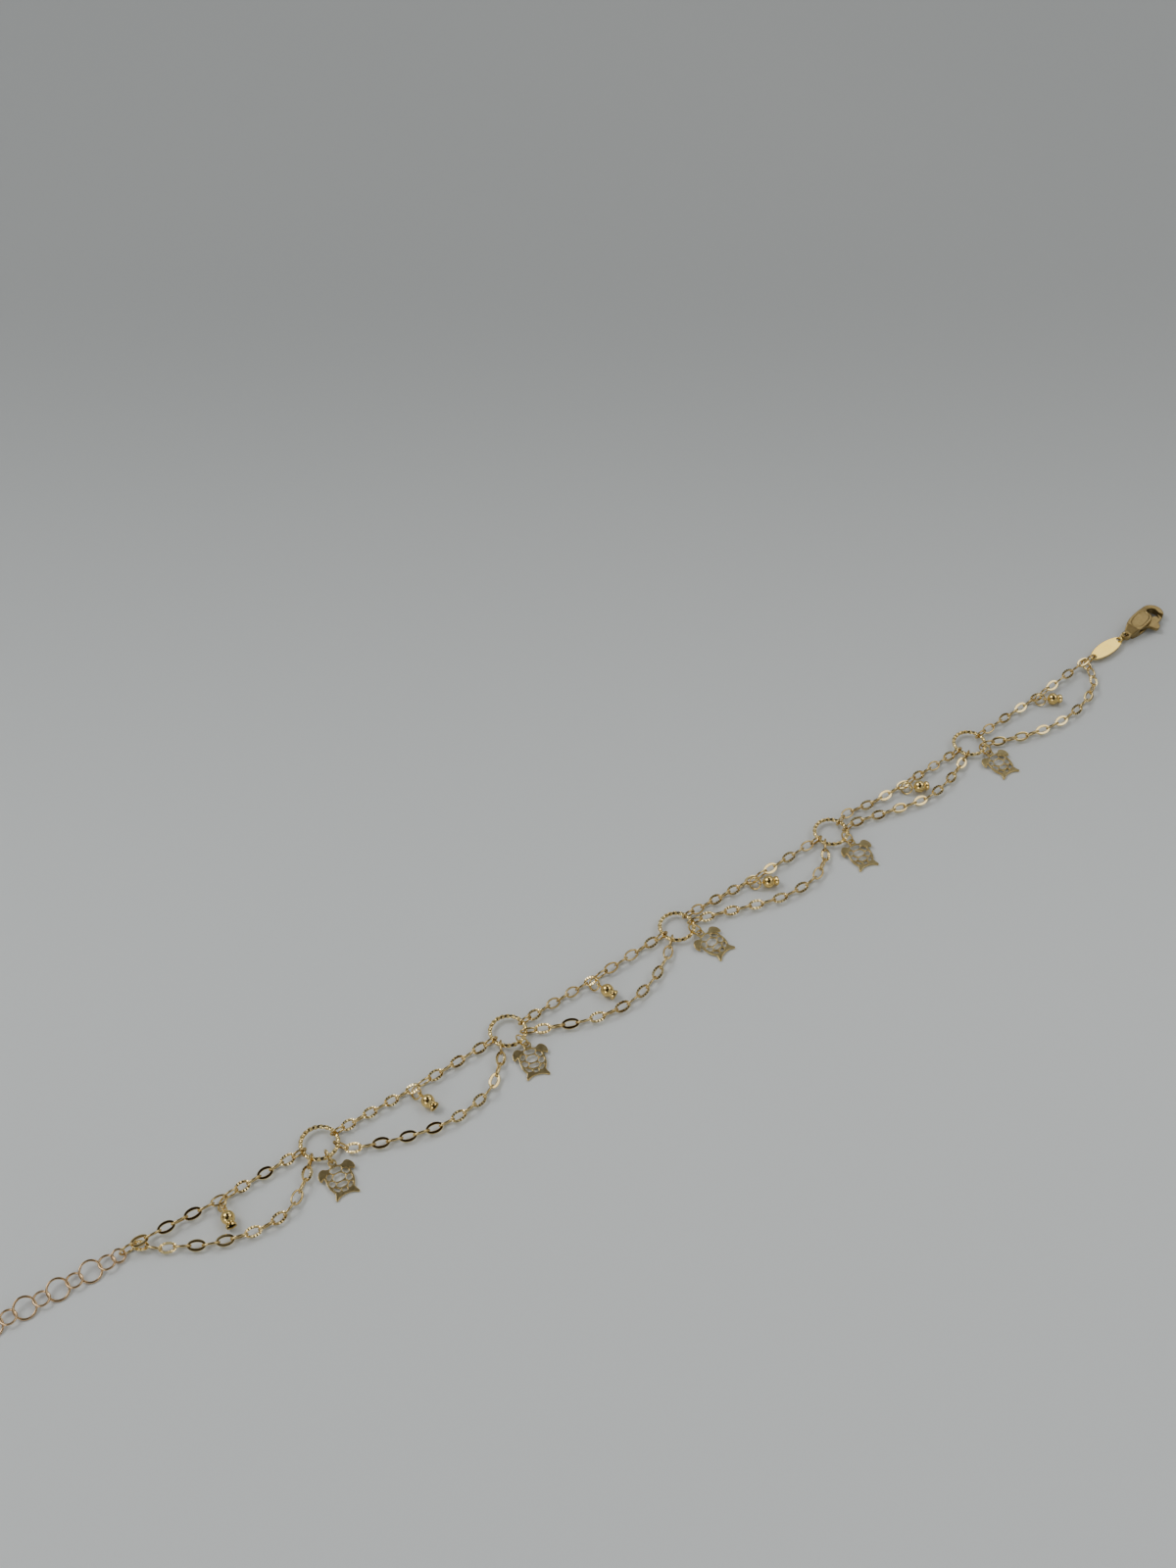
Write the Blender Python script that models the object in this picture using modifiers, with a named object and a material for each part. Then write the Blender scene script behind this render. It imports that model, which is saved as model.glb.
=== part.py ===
# A ten-inch charm anklet, laid open on a surface as its wearer puts it down. Six sections of two
# fine cable chains run between five twisted-wire rings. A bead drop hangs at the middle of each
# upper chain and a pierced turtle charm on each ring. One end has an extender chain and the other
# an oval tag and a lobster clasp. X runs along the anklet to the clasp, Y across it, Z up.
import math

import bmesh
import bpy
from mathutils import Matrix, Vector

MM = 0.001
FULL_TURN = 360

# Wire rings and links
RING_SIDES = 10
WIRE_SIDES = 5
CLEARANCE = 0.15 * MM
HOLD_PLAY = 0.21 * MM
WELD = 0.06 * MM

# Cable chain
LINK_LENGTH = 2.9 * MM
LINK_WIDTH = 1.8 * MM
LINK_WIRE = 0.4 * MM
TUBE_STEP = 3.6 * MM
ROUTE_PARTS = 24

# Twisted rings, by their places along the anklet and across it
TWISTED_OUTSIDE = 6.46 * MM
TWISTED_WIRE = 0.66 * MM
TWISTED_SIDES = 20
TWISTED_WIRE_SIDES = 6
RING_SPACING = 35.3 * MM
RING_BOW = 0.6 * MM
RING_BOW_SHARES = (0.95, -0.07, 0.0, -0.07, 0.95)

# Two ends of the double strand, from the outer rings' centres
EXTENDER_REACH = 30.6 * MM
EXTENDER_RISE = 1.6 * MM
TAG_REACH = 33.35 * MM
TAG_RISE = 1.8 * MM

# Where the chains take hold of each ring, in degrees round it from +X
UPPER_LEFT_HOLDS = (173, 180, 180, 178, 182)
UPPER_RIGHT_HOLDS = (3, 0, 18, 18, 8)
LOWER_LEFT_HOLDS = (213, 212, 214, 208, 218)
LOWER_RIGHT_HOLDS = (-42, -38, -14, -20, -42)

# Routes of the chains: share of a section's length, then share of the swag's depth below it
SWAG_DEPTH = 8.0 * MM
UPPER_ROUTES = (
    ((0.437, 0.035),),
    ((0.48, 0.03),),
    ((0.475, 0.025),),
    ((0.475, -0.01),),
    ((0.16, -0.17), (0.30, -0.06), (0.51, -0.01)),
    ((0.565, 0.02),),
)
LOWER_ROUTES = (
    ((0.085, 0.33), (0.15, 0.46), (0.30, 0.78), (0.51, 1.0), (0.68, 0.95), (0.82, 0.60)),
    ((0.10, 0.47), (0.26, 0.78), (0.44, 1.03), (0.60, 1.08), (0.76, 0.92), (0.88, 0.50)),
    ((0.18, 0.48), (0.35, 0.80), (0.52, 0.94), (0.68, 0.83), (0.83, 0.54)),
    ((0.18, 0.22), (0.34, 0.48), (0.53, 0.75), (0.72, 0.78), (0.85, 0.52)),
    ((0.16, 0.15), (0.34, 0.38), (0.55, 0.60), (0.73, 0.52), (0.86, 0.34)),
    ((0.12, 0.36), (0.30, 0.69), (0.50, 0.90), (0.70, 0.90), (0.86, 0.72), (0.95, 0.44)),
)

# Bead drops and their rings
BEAD = 2.2 * MM
FOOT = 1.7 * MM
FOOT_NECK = 1.0 * MM
FOOT_REACH = 1.62 * MM
FOOT_THICK = 0.3 * MM
BEAD_SIDES = 12
BAIL = 1.2 * MM
BAIL_WIRE = 0.26 * MM
DROP_RING = 2.3 * MM
DROP_RING_WIRE = 0.3 * MM
DROP_RING_LEAN = math.radians(50)
DROP_RING_HEIGHT = 0.98 * MM
DROP_RING_OFFSET = 1.0 * MM
DROP_RING_SWING = math.radians(19.5)
DROP_HEADINGS = (-100, -77, -69, -20, -19, -24)
DROP_RING_LIMIT = -70

# Turtle charms, their rings, and the shell's pattern
CHARM_LENGTH = 6.85 * MM
CHARM_WIDTH = 5.9 * MM
CHARM_SHEET = 0.35 * MM
CHARM_HEAD = 1.36 * MM
CHARM_HEAD_HOLE = 0.84 * MM
HEAD_OPEN = 1.4
CHARM_SLOPE = math.radians(4.5)
CHARM_RING = 2.6 * MM
CHARM_RING_WIRE = 0.3 * MM
CHARM_RING_SET_BACK = 0.3 * MM
CHARM_HOLDS = (-94, -80, -52, -68, -72)
CHARM_HEADINGS = (-98.6, -108, -79, -101, -93)
CHARM_RING_HEADINGS = (-92, -70, -62, -77, -72)
# One half of the outline: share of the length from the head's centre, share of the half width
CHARM_OUTLINE = (
    (0.088, 0.203), (0.073, 0.339), (0.055, 0.508), (0.066, 0.712), (0.114, 0.888),
    (0.197, 0.993), (0.299, 1.0), (0.339, 0.932), (0.299, 0.82), (0.27, 0.725),
    (0.38, 0.722), (0.482, 0.729), (0.584, 0.688), (0.672, 0.597), (0.723, 0.522),
    (0.796, 0.597), (0.891, 0.668), (0.901, 0.583), (0.85, 0.407), (0.82, 0.203),
)
# Shell cells on one side and on the middle line, in the same shares
CHARM_SIDE_CELLS = (
    ((0.219, 0.39), (0.27, 0.271), (0.353, 0.414), (0.368, 0.492), (0.347, 0.603),
     (0.285, 0.593), (0.234, 0.508)),
    ((0.4, 0.447), (0.47, 0.305), (0.499, 0.305), (0.547, 0.407), (0.543, 0.542),
     (0.489, 0.61), (0.416, 0.61)),
    ((0.587, 0.414), (0.645, 0.251), (0.693, 0.224), (0.712, 0.312), (0.679, 0.454),
     (0.62, 0.529), (0.584, 0.492)),
)
CHARM_MIDDLE_CELLS = (
    ((0.134, 0.0), (0.14, 0.186), (0.178, 0.288), (0.226, 0.244), (0.251, 0.169), (0.254, 0.0)),
    ((0.289, 0.0), (0.295, 0.176), (0.38, 0.332), (0.46, 0.186), (0.47, 0.0)),
    ((0.511, 0.0), (0.507, 0.186), (0.562, 0.292), (0.616, 0.163), (0.623, 0.0)),
    ((0.664, 0.0), (0.66, 0.122), (0.727, 0.102), (0.73, 0.0)),
)

# Extender chain, from the strand link outward
LARGE_RING = 3.6 * MM
SMALL_RING = 2.75 * MM
FIRST_RING = 2.3 * MM
EXTENDER_WIRE = 0.32 * MM
EXTENDER_PAIRS = 4
RING_LAP = 0.305 * MM
EXTENDER_HEIGHT = 0.72 * MM
FIRST_RING_SET = 0.72 * MM
EXTENDER_HEADING = math.radians(177)

# Linking rings, tag and clasp ring
END_LINK_LENGTH = 3.0 * MM
END_LINK_WIDTH = 2.1 * MM
END_LINK_WIRE = 0.35 * MM
END_LINK_SET = 0.68 * MM
STACK_STEP = 0.26 * MM
LOWER_START = math.radians(-50)
LOWER_FINISH = math.radians(72)
TAG_LENGTH = 9.2 * MM
TAG_WIDTH = 3.5 * MM
TAG_SHEET = 0.45 * MM
TAG_HOLE = 0.95 * MM
TAG_RIM = 0.34 * MM
TAG_EDGE = 0.08 * MM
TAG_POINT = 0.12
TAG_HEIGHT = 0.85 * MM
TAG_HEADING = math.radians(3)
CLASP_RING = 2.4 * MM
CLASP_RING_WIRE = 0.35 * MM
CLASP_RING_HEADING = math.radians(-4)

# Lobster clasp, in its own plane with the tail hole's centre at 0, 0
CLASP_HEADING = math.radians(9)
CLASP_THICK = 2.0 * MM
TAIL_OUTSIDE = 1.9 * MM
TAIL_OPEN = 50
TAIL_HOLE = 1.0 * MM
TAIL_THICK = 0.8 * MM
TAIL_STEP = 1.0 * MM
HOOK_CENTRE = (8.9 * MM, -0.3 * MM)
HOOK_RADIUS = 1.65 * MM
HOOK_BAND = 1.05 * MM
HOOK_START = 95
HOOK_MOUTH = 125
HOOK_END = -50
HOOK_SLANT = 14
SLOT_HEIGHT = 1.0 * MM
SLOT_START = 2.6 * MM
SLOT_END = 8.6 * MM
SLOT_ROOF = 0.75 * MM
PIVOT = (4.6 * MM, -0.45 * MM)
PIN = 0.6 * MM
PIN_PLAY = 0.105 * MM
LEVER_THICK = 0.7 * MM
LEVER_REACH = 4.9 * MM
LEVER_NOSE = (-8, -24)
HOUSING_BACK = ((1.5, 1.2), (3.0, 1.7), (5.0, 1.95), (7.0, 1.93))
HOUSING_FRONT = ((8.0, 0.3), (8.0, -0.4), (7.6, -1.0), (6.5, -1.45), (5.0, -1.6), (3.0, -1.5),
                 (1.5, -1.15))
LEVER_TAB = ((8.4, -2.55), (7.4, -2.6), (7.0, -3.3), (6.4, -3.6), (5.7, -3.5), (5.5, -2.9),
             (5.3, -1.9), (4.0, -1.25), (3.6, -0.6), (3.9, 0.15), (4.6, 0.4), (5.5, 0.25),
             (6.8, -0.2), (8.0, -0.9), (8.8, -1.35))


def clear_scene():
    for leftover in list(bpy.data.objects):
        bpy.data.objects.remove(leftover)


def new_collection(name):
    group = bpy.data.collections.new(name)
    bpy.context.scene.collection.children.link(group)
    return group


clear_scene()
ANKLET = new_collection("charm anklet")
CUTTERS = new_collection("cutters")


def gold(name, colour, roughness):
    finish = bpy.data.materials.new(name)
    finish.use_nodes = True
    shader = finish.node_tree.nodes["Principled BSDF"]
    shader.inputs["Base Color"].default_value = (*colour, 1.0)
    shader.inputs["Roughness"].default_value = roughness
    shader.inputs["Metallic"].default_value = 1.0
    return finish


CHAIN_GOLD = gold("chain gold", (0.80, 0.66, 0.40), 0.18)
TWIST_GOLD = gold("twisted wire gold", (0.78, 0.62, 0.34), 0.2)
BEAD_GOLD = gold("polished bead gold", (0.85, 0.68, 0.32), 0.06)
CHARM_GOLD = gold("turtle charm gold", (0.55, 0.45, 0.24), 0.3)
PLATE_GOLD = gold("tag plate gold", (0.86, 0.74, 0.45), 0.1)
CLASP_GOLD = gold("cast clasp gold", (0.50, 0.39, 0.19), 0.3)
ROSE_GOLD = gold("extender gold", (0.80, 0.62, 0.44), 0.2)


def polar(radius, angle):
    return Vector((radius * math.cos(angle), radius * math.sin(angle), 0.0))


def house(piece, name, finish, group=ANKLET):
    """Give a piece its name, finish and collection."""
    piece.name = name
    piece.data.name = name
    for holder in list(piece.users_collection):
        holder.objects.unlink(piece)
    group.objects.link(piece)
    piece.data.materials.clear()
    piece.data.materials.append(finish)
    return piece


def settle(piece):
    """Write a piece's place into its mesh, so that it can be joined to others."""
    bpy.context.view_layer.update()
    piece.data.transform(piece.matrix_world)
    piece.matrix_world = Matrix.Identity(4)
    return piece


def as_mesh(source):
    """Replace a curve, or an object with modifiers, by the mesh that it makes."""
    bpy.context.view_layer.update()
    evaluated = source.evaluated_get(bpy.context.evaluated_depsgraph_get())
    mesh = bpy.data.meshes.new_from_object(evaluated)
    shape = bmesh.new()
    shape.from_mesh(mesh)
    bmesh.ops.remove_doubles(shape, verts=shape.verts, dist=0.001 * MM)
    shape.to_mesh(mesh)
    shape.free()
    piece = bpy.data.objects.new(source.name, mesh)
    bpy.context.scene.collection.objects.link(piece)
    piece.matrix_world = source.matrix_world.copy()
    bpy.data.objects.remove(source)
    return piece


def combine(pieces, operation="UNION"):
    """Join overlapping solids into one closed body, or cut all the others from the first."""
    first = settle(pieces[0])
    for other in pieces[1:]:
        step = first.modifiers.new(other.name, "BOOLEAN")
        step.operation = operation
        step.object = settle(other)
    joined = as_mesh(first)
    for other in pieces[1:]:
        bpy.data.objects.remove(other)
    return joined


def wire_ring(length, width, wire, sides=RING_SIDES, wire_sides=WIRE_SIDES):
    """A closed round or oval wire ring in the XY plane, its long axis on X."""
    bpy.ops.mesh.primitive_torus_add(major_segments=sides, minor_segments=wire_sides,
                                     major_radius=1.0, minor_radius=0.5)
    ring = bpy.context.object
    widest = max(math.sin(2 * math.pi * step / sides) for step in range(sides))
    half_long = (length - wire) / 2
    half_wide = (width - wire) / 2 / widest
    for vertex in ring.data.vertices:
        turn = math.atan2(vertex.co.y, vertex.co.x)
        out = (math.hypot(vertex.co.x, vertex.co.y) - 1.0) * wire
        along = Vector((half_long * math.cos(turn), half_wide * math.sin(turn), 0.0))
        away = Vector((half_wide * math.cos(turn), half_long * math.sin(turn), 0.0)).normalized()
        vertex.co = along + away * out + Vector((0.0, 0.0, vertex.co.z * wire))
    ring.data.shade_smooth()
    return ring


def place(piece, centre, heading=0.0, roll=0.0):
    """Set a piece down at a centre, rolled about its own long axis and then turned."""
    turn = Matrix.Rotation(heading, 4, "Z") @ Matrix.Rotation(roll, 4, "X")
    piece.matrix_world = Matrix.Translation(centre) @ turn
    return piece


def face_along(piece, centre, across, along):
    """Place a ring with its plane spanned by two directions."""
    first = across.normalized()
    normal = first.cross(along).normalized()
    second = normal.cross(first)
    turn = Matrix((first, second, normal)).transposed().to_4x4()
    piece.matrix_world = Matrix.Translation(centre) @ turn
    return piece


def flat_plate(outlines, thickness, edge=0.0):
    """A flat sheet from an outline and its holes, with an optional broken edge."""
    drawing = bpy.data.curves.new("sheet outline", "CURVE")
    drawing.dimensions = "2D"
    drawing.fill_mode = "BOTH"
    drawing.extrude = thickness / 2 - edge
    drawing.bevel_depth = edge
    drawing.bevel_resolution = 0
    drawing.offset = -edge
    for outline in outlines:
        spline = drawing.splines.new("POLY")
        spline.points.add(len(outline) - 1)
        spline.use_cyclic_u = True
        for point, (x, y) in zip(spline.points, outline):
            point.co = (x, y, 0.0, 1.0)
    sheet = bpy.data.objects.new("sheet", drawing)
    bpy.context.scene.collection.objects.link(sheet)
    return as_mesh(sheet)


def circle(centre, radius, sides=RING_SIDES):
    turns = [2 * math.pi * step / sides for step in range(sides)]
    return [(centre[0] + radius * math.cos(a), centre[1] + radius * math.sin(a)) for a in turns]


def arc(centre, radius, start, finish, steps):
    turns = [math.radians(start + (finish - start) * step / steps) for step in range(steps + 1)]
    return [(centre[0] + radius * math.cos(a), centre[1] + radius * math.sin(a)) for a in turns]


def smooth_route(points, step):
    """Points at even steps along a smooth curve through a route's own points."""
    ends = [2 * points[0] - points[1], *points, 2 * points[-1] - points[-2]]
    fine = []
    for before, here, there, after in zip(ends, ends[1:], ends[2:], ends[3:]):
        for part in range(ROUTE_PARTS):
            t = part / ROUTE_PARTS
            fine.append(0.5 * (2 * here + (there - before) * t
                               + (2 * before - 5 * here + 4 * there - after) * t * t
                               + (3 * here - before - 3 * there + after) * t ** 3))
    fine.append(points[-1].copy())
    walked = [0.0]
    for here, there in zip(fine, fine[1:]):
        walked.append(walked[-1] + (there - here).length)
    count = max(2, round(walked[-1] / step))
    evenly = []
    for number in range(count + 1):
        target = walked[-1] * number / count
        after = next(i for i, w in enumerate(walked) if w >= target - 1e-12)
        before = max(after - 1, 0)
        gap = walked[after] - walked[before]
        share = (target - walked[before]) / gap if gap > 0 else 0.0
        evenly.append(fine[before].lerp(fine[after], share))
    return evenly


def chain_tube(points):
    """The plain tube that stands for a stretch of fine chain."""
    path = bpy.data.curves.new("chain path", "CURVE")
    path.dimensions = "3D"
    path.bevel_depth = LINK_WIDTH / 2
    path.bevel_resolution = 2
    path.use_fill_caps = True
    spline = path.splines.new("POLY")
    spline.points.add(len(points) - 1)
    for knot, point in zip(spline.points, points):
        knot.co = (*point, 1.0)
    tube = bpy.data.objects.new("chain tube", path)
    bpy.context.scene.collection.objects.link(tube)
    return as_mesh(tube)


# Levels and pitches that follow from the sizes above
CHAIN_LEVEL = LINK_WIDTH / 2
LINK_PITCH = LINK_LENGTH - 2 * LINK_WIRE + WELD
TWISTED_RADIUS = (TWISTED_OUTSIDE - TWISTED_WIRE) / 2
LINK_REACH = (LINK_LENGTH - LINK_WIRE) / 2
RING_HOLD = LINK_REACH - LINK_WIRE / 2 - TWISTED_WIRE / 2 - HOLD_PLAY
END_LEVEL = END_LINK_WIDTH / 2
END_LINK_REACH = (END_LINK_LENGTH - END_LINK_WIRE) / 2


def ring_centres():
    middle = (len(RING_BOW_SHARES) - 1) / 2
    return [Vector((RING_SPACING * (number - middle), RING_BOW * bow, CHAIN_LEVEL))
            for number, bow in enumerate(RING_BOW_SHARES)]


RINGS = ring_centres()
EXTENDER_END = RINGS[0] + Vector((-EXTENDER_REACH, EXTENDER_RISE, 0.0))
TAG_END = RINGS[-1] + Vector((TAG_REACH, TAG_RISE, 0.0))


def hold_point(ring, degrees):
    return ring + polar(TWISTED_RADIUS, math.radians(degrees))


def section_route(section, shares):
    """A section's route points between the centres that it joins."""
    starts = [EXTENDER_END, *RINGS]
    finishes = [*RINGS, TAG_END]
    start = starts[section]
    finish = finishes[section]
    return [start.lerp(finish, along) - Vector((0.0, SWAG_DEPTH * down, 0.0))
            for along, down in shares]


def standing_link(centre, away):
    heading = math.atan2(away.y, away.x)
    return place(wire_ring(LINK_LENGTH, LINK_WIDTH, LINK_WIRE), centre, heading, math.pi / 2)


def lying_link(centre, away):
    heading = math.atan2(away.y, away.x)
    return place(wire_ring(LINK_LENGTH, LINK_WIDTH, LINK_WIRE), centre, heading)


def ring_end(hold, toward):
    """A chain's end at a twisted ring: one standing link, and where the rest begins."""
    away = (toward - hold).normalized()
    centre = hold + away * RING_HOLD
    return [standing_link(centre, away)], centre + away * (LINK_REACH - WELD)


def linking_end(hold, away, level, links):
    """A chain's end on a linking ring: a lying link, then perhaps a standing one."""
    centre = hold + away * (LINK_REACH - END_LINK_SET)
    centre.z = level
    built = [lying_link(centre, away)]
    finish = centre + away * (LINK_REACH - WELD)
    if links == 2:
        second = hold + away * (LINK_REACH - END_LINK_SET + LINK_PITCH)
        second.z = CHAIN_LEVEL
        built.append(standing_link(second, away))
        finish = second + away * (LINK_REACH - WELD)
    finish.z = CHAIN_LEVEL
    return built, finish


def strand(name, first, last, stretches, extra):
    """One strand: real links at its ends and tubes between, all one body."""
    pieces = [*first]
    for points in stretches:
        pieces.append(chain_tube(points))
    pieces.extend(extra)
    pieces.extend(last)
    joined = combine(pieces)
    joined.data.shade_smooth()
    joined.data.set_sharp_from_angle(angle=math.radians(50))
    return house(joined, name, CHAIN_GOLD)


def build_upper_strand(section, drop_places):
    route = section_route(section, UPPER_ROUTES[section])
    middle = route[-1]
    before = route[:-1]
    if section == 0:
        away = Vector((1.0, 0.0, 0.0))
        first, start = linking_end(EXTENDER_END, away, END_LEVEL + STACK_STEP, 1)
    else:
        hold = hold_point(RINGS[section - 1], UPPER_RIGHT_HOLDS[section - 1])
        first, start = ring_end(hold, route[0])
    if section == len(RINGS):
        away = Vector((-1.0, -0.02, 0.0)).normalized()
        last, finish = linking_end(TAG_END, away, END_LEVEL + STACK_STEP, 1)
    else:
        hold = hold_point(RINGS[section], UPPER_LEFT_HOLDS[section])
        last, finish = ring_end(hold, middle)
    along = (finish - before[-1] if before else finish - start).normalized()
    link = lying_link(middle, along)
    grip = along * (LINK_REACH - WELD)
    stretches = [smooth_route([start, *before, middle - grip], TUBE_STEP),
                 smooth_route([middle + grip, finish], TUBE_STEP)]
    drop_places.append(middle)
    return strand(f"upper_strand_{section + 1}", first, last, stretches, [link])


def build_lower_strand(section):
    route = section_route(section, LOWER_ROUTES[section])
    if section == 0:
        away = polar(1.0, LOWER_START)
        first, start = linking_end(EXTENDER_END, away, END_LEVEL - STACK_STEP, 2)
    else:
        hold = hold_point(RINGS[section - 1], LOWER_RIGHT_HOLDS[section - 1])
        first, start = ring_end(hold, route[0])
    if section == len(RINGS):
        away = -polar(1.0, LOWER_FINISH)
        last, finish = linking_end(TAG_END, away, END_LEVEL - STACK_STEP, 2)
    else:
        hold = hold_point(RINGS[section], LOWER_LEFT_HOLDS[section])
        last, finish = ring_end(hold, route[-1])
    stretches = [smooth_route([start, *route, finish], TUBE_STEP)]
    return strand(f"lower_strand_{section + 1}", first, last, stretches, [])


def build_twisted_rings():
    for number, centre in enumerate(RINGS, 1):
        ring = wire_ring(TWISTED_OUTSIDE, TWISTED_OUTSIDE, TWISTED_WIRE,
                         TWISTED_SIDES, TWISTED_WIRE_SIDES)
        house(place(ring, centre), f"twisted_ring_{number}", TWIST_GOLD)


def bead_profile():
    """The drop's half section from its top pole to the dished face of its foot."""
    radius = BEAD / 2
    neck_turn = math.degrees(math.asin(FOOT_NECK / 2 / radius))
    steps = 6
    turns = [math.radians(neck_turn + (180 - neck_turn) * step / steps)
             for step in range(steps, -1, -1)]
    ball = [(radius * math.sin(a), radius * math.cos(a)) for a in turns]
    rim = FOOT_REACH - FOOT_THICK
    foot = [(FOOT_NECK / 2, rim - FOOT_THICK / 2), (FOOT / 2, rim), (FOOT / 2, FOOT_REACH),
            (FOOT / 3, FOOT_REACH), (0.0, FOOT_REACH - FOOT_THICK / 2)]
    return ball + foot


def build_bead_drop(number, centre, heading):
    """A jump ring leaning on the table round a link's near side, and its bead drop."""
    swing = min(heading - DROP_RING_SWING, math.radians(DROP_RING_LIMIT))
    level = polar(1.0, swing)
    rise = polar(math.cos(DROP_RING_LEAN), swing + math.pi / 2)
    rise.z = math.sin(DROP_RING_LEAN)
    ring_centre = centre - Vector((0.0, DROP_RING_OFFSET, 0.0))
    ring_centre.z = DROP_RING_HEIGHT
    ring = wire_ring(DROP_RING, DROP_RING, DROP_RING_WIRE)
    face_along(ring, ring_centre, level, rise)
    house(ring, f"drop_ring_{number}", BEAD_GOLD)

    tip = math.asin((BEAD - FOOT) / 2 / (FOOT_REACH - FOOT_THICK / 2))
    along = polar(math.cos(tip), heading)
    along.z = -math.sin(tip)
    bail_reach = BEAD / 2 + BAIL / 2 - BAIL_WIRE / 2
    hold_rise = BEAD / 2 + math.sin(tip) * bail_reach - DROP_RING_HEIGHT
    ring_radius = (DROP_RING - DROP_RING_WIRE) / 2
    lift = math.asin(hold_rise / ring_radius / math.sin(DROP_RING_LEAN))
    hold = ring_centre + (level * math.cos(lift) + rise * math.sin(lift)) * ring_radius
    tangent = rise * math.cos(lift) - level * math.sin(lift)
    across = (tangent - along * tangent.dot(along)).normalized()
    bail = wire_ring(BAIL, BAIL, BAIL_WIRE)
    face_along(bail, hold, along, across.cross(along))

    outline = bpy.data.meshes.new("bead profile")
    points = [(r, 0.0, h) for r, h in reversed(bead_profile())]
    outline.from_pydata(points, [(i, i + 1) for i in range(len(points) - 1)], [])
    bead = bpy.data.objects.new("bead", outline)
    bpy.context.scene.collection.objects.link(bead)
    spin = bead.modifiers.new("turn", "SCREW")
    spin.steps = BEAD_SIDES
    spin.render_steps = BEAD_SIDES
    spin.use_merge_vertices = True
    spin.merge_threshold = 0.001 * MM
    turned = as_mesh(bead)
    seat = hold + along * bail_reach
    face_along(turned, seat, across, along.cross(across))
    drop = combine([turned, bail])
    drop.data.shade_smooth()
    drop.data.set_sharp_from_angle(angle=math.radians(40))
    return house(drop, f"bead_drop_{number}", BEAD_GOLD)


def charm_outlines():
    """Turtle outline, head hole and shell cells, head at 0, 0 and the tail on +X."""
    half = CHARM_WIDTH / 2
    side = [(along * CHARM_LENGTH, out * half) for along, out in CHARM_OUTLINE]
    neck = math.degrees(math.atan2(side[0][1], side[0][0]))
    head = arc((0.0, 0.0), CHARM_HEAD / 2, FULL_TURN - neck * HEAD_OPEN, neck * HEAD_OPEN, 7)
    outline = head + side + [(x, -y) for x, y in reversed(side)]
    outlines = [outline, circle((0.0, 0.0), CHARM_HEAD_HOLE / 2, 8)]
    for cell in CHARM_SIDE_CELLS:
        for way in (1, -1):
            outlines.append([(a * CHARM_LENGTH, way * out * half) for a, out in cell])
    for cell in CHARM_MIDDLE_CELLS:
        right = [(a * CHARM_LENGTH, out * half) for a, out in cell]
        left = [(x, -y) for x, y in reversed(right) if y > 0.0]
        outlines.append(right + left)
    return outlines


def build_turtle_charm(number, ring_centre, hold_degrees, heading_degrees, loop_degrees):
    """A pierced charm with its tail on the table, and its ring round the twisted wire."""
    heading = math.radians(heading_degrees)
    loop_heading = math.radians(loop_degrees)
    away = polar(1.0, loop_heading)
    hold = hold_point(ring_centre, hold_degrees)
    loop_centre = hold + away * CHARM_RING_SET_BACK
    loop_centre.z = CHARM_RING / 2
    loop = wire_ring(CHARM_RING, CHARM_RING, CHARM_RING_WIRE)
    place(loop, loop_centre, loop_heading, math.pi / 2)
    house(loop, f"turtle_ring_{number}", CHARM_GOLD)

    tail = max(along for along, out in CHARM_OUTLINE) * CHARM_LENGTH
    level = CHARM_SHEET / 2 + tail * math.sin(CHARM_SLOPE)
    loop_radius = (CHARM_RING - CHARM_RING_WIRE) / 2
    reach = math.sqrt(loop_radius ** 2 - (loop_centre.z - level) ** 2)
    head = loop_centre + away * reach
    head.z = level
    charm = flat_plate(charm_outlines(), CHARM_SHEET)
    turn = Matrix.Rotation(heading, 4, "Z") @ Matrix.Rotation(CHARM_SLOPE, 4, "Y")
    charm.matrix_world = Matrix.Translation(head) @ turn
    return house(charm, f"turtle_charm_{number}", CHARM_GOLD)


def ring_tilt(radius, other_radius, pitch, other_tilt):
    """Tilt at which a ring just meets its neighbour where the two wires cross."""
    along = (pitch ** 2 + radius ** 2 - other_radius ** 2) / (2 * pitch)
    out = math.sqrt(radius ** 2 - along ** 2)
    return math.asin((EXTENDER_WIRE - WELD) / out - math.sin(abs(other_tilt)))


def build_extender():
    """Large and small rings in turn, tilted one way and the other so that they interlock."""
    large = (LARGE_RING - EXTENDER_WIRE) / 2
    small = (SMALL_RING - EXTENDER_WIRE) / 2
    first = (FIRST_RING - EXTENDER_WIRE) / 2
    large_tilt = math.asin((EXTENDER_HEIGHT - EXTENDER_WIRE / 2) / large)
    pitch = large + small - RING_LAP
    first_pitch = first + small - RING_LAP
    small_tilt = ring_tilt(large, small, pitch, large_tilt)
    first_tilt = ring_tilt(first, small, first_pitch, small_tilt)
    away = polar(1.0, EXTENDER_HEADING)
    link_left = EXTENDER_END - Vector((2 * END_LINK_REACH, 0.0, 0.0))
    centre = link_left + away * (first - FIRST_RING_SET)
    centre.z = EXTENDER_HEIGHT
    rings = [place(wire_ring(FIRST_RING, FIRST_RING, EXTENDER_WIRE), centre,
                   EXTENDER_HEADING, first_tilt)]
    step = first_pitch
    for _ in range(EXTENDER_PAIRS):
        centre = centre + away * step
        rings.append(place(wire_ring(SMALL_RING, SMALL_RING, EXTENDER_WIRE), centre,
                           EXTENDER_HEADING, -small_tilt))
        step = pitch
        centre = centre + away * step
        rings.append(place(wire_ring(LARGE_RING, LARGE_RING, EXTENDER_WIRE), centre,
                           EXTENDER_HEADING, large_tilt))
    chain = combine(rings)
    chain.data.shade_smooth()
    return house(chain, "extender_chain", ROSE_GOLD)


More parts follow.
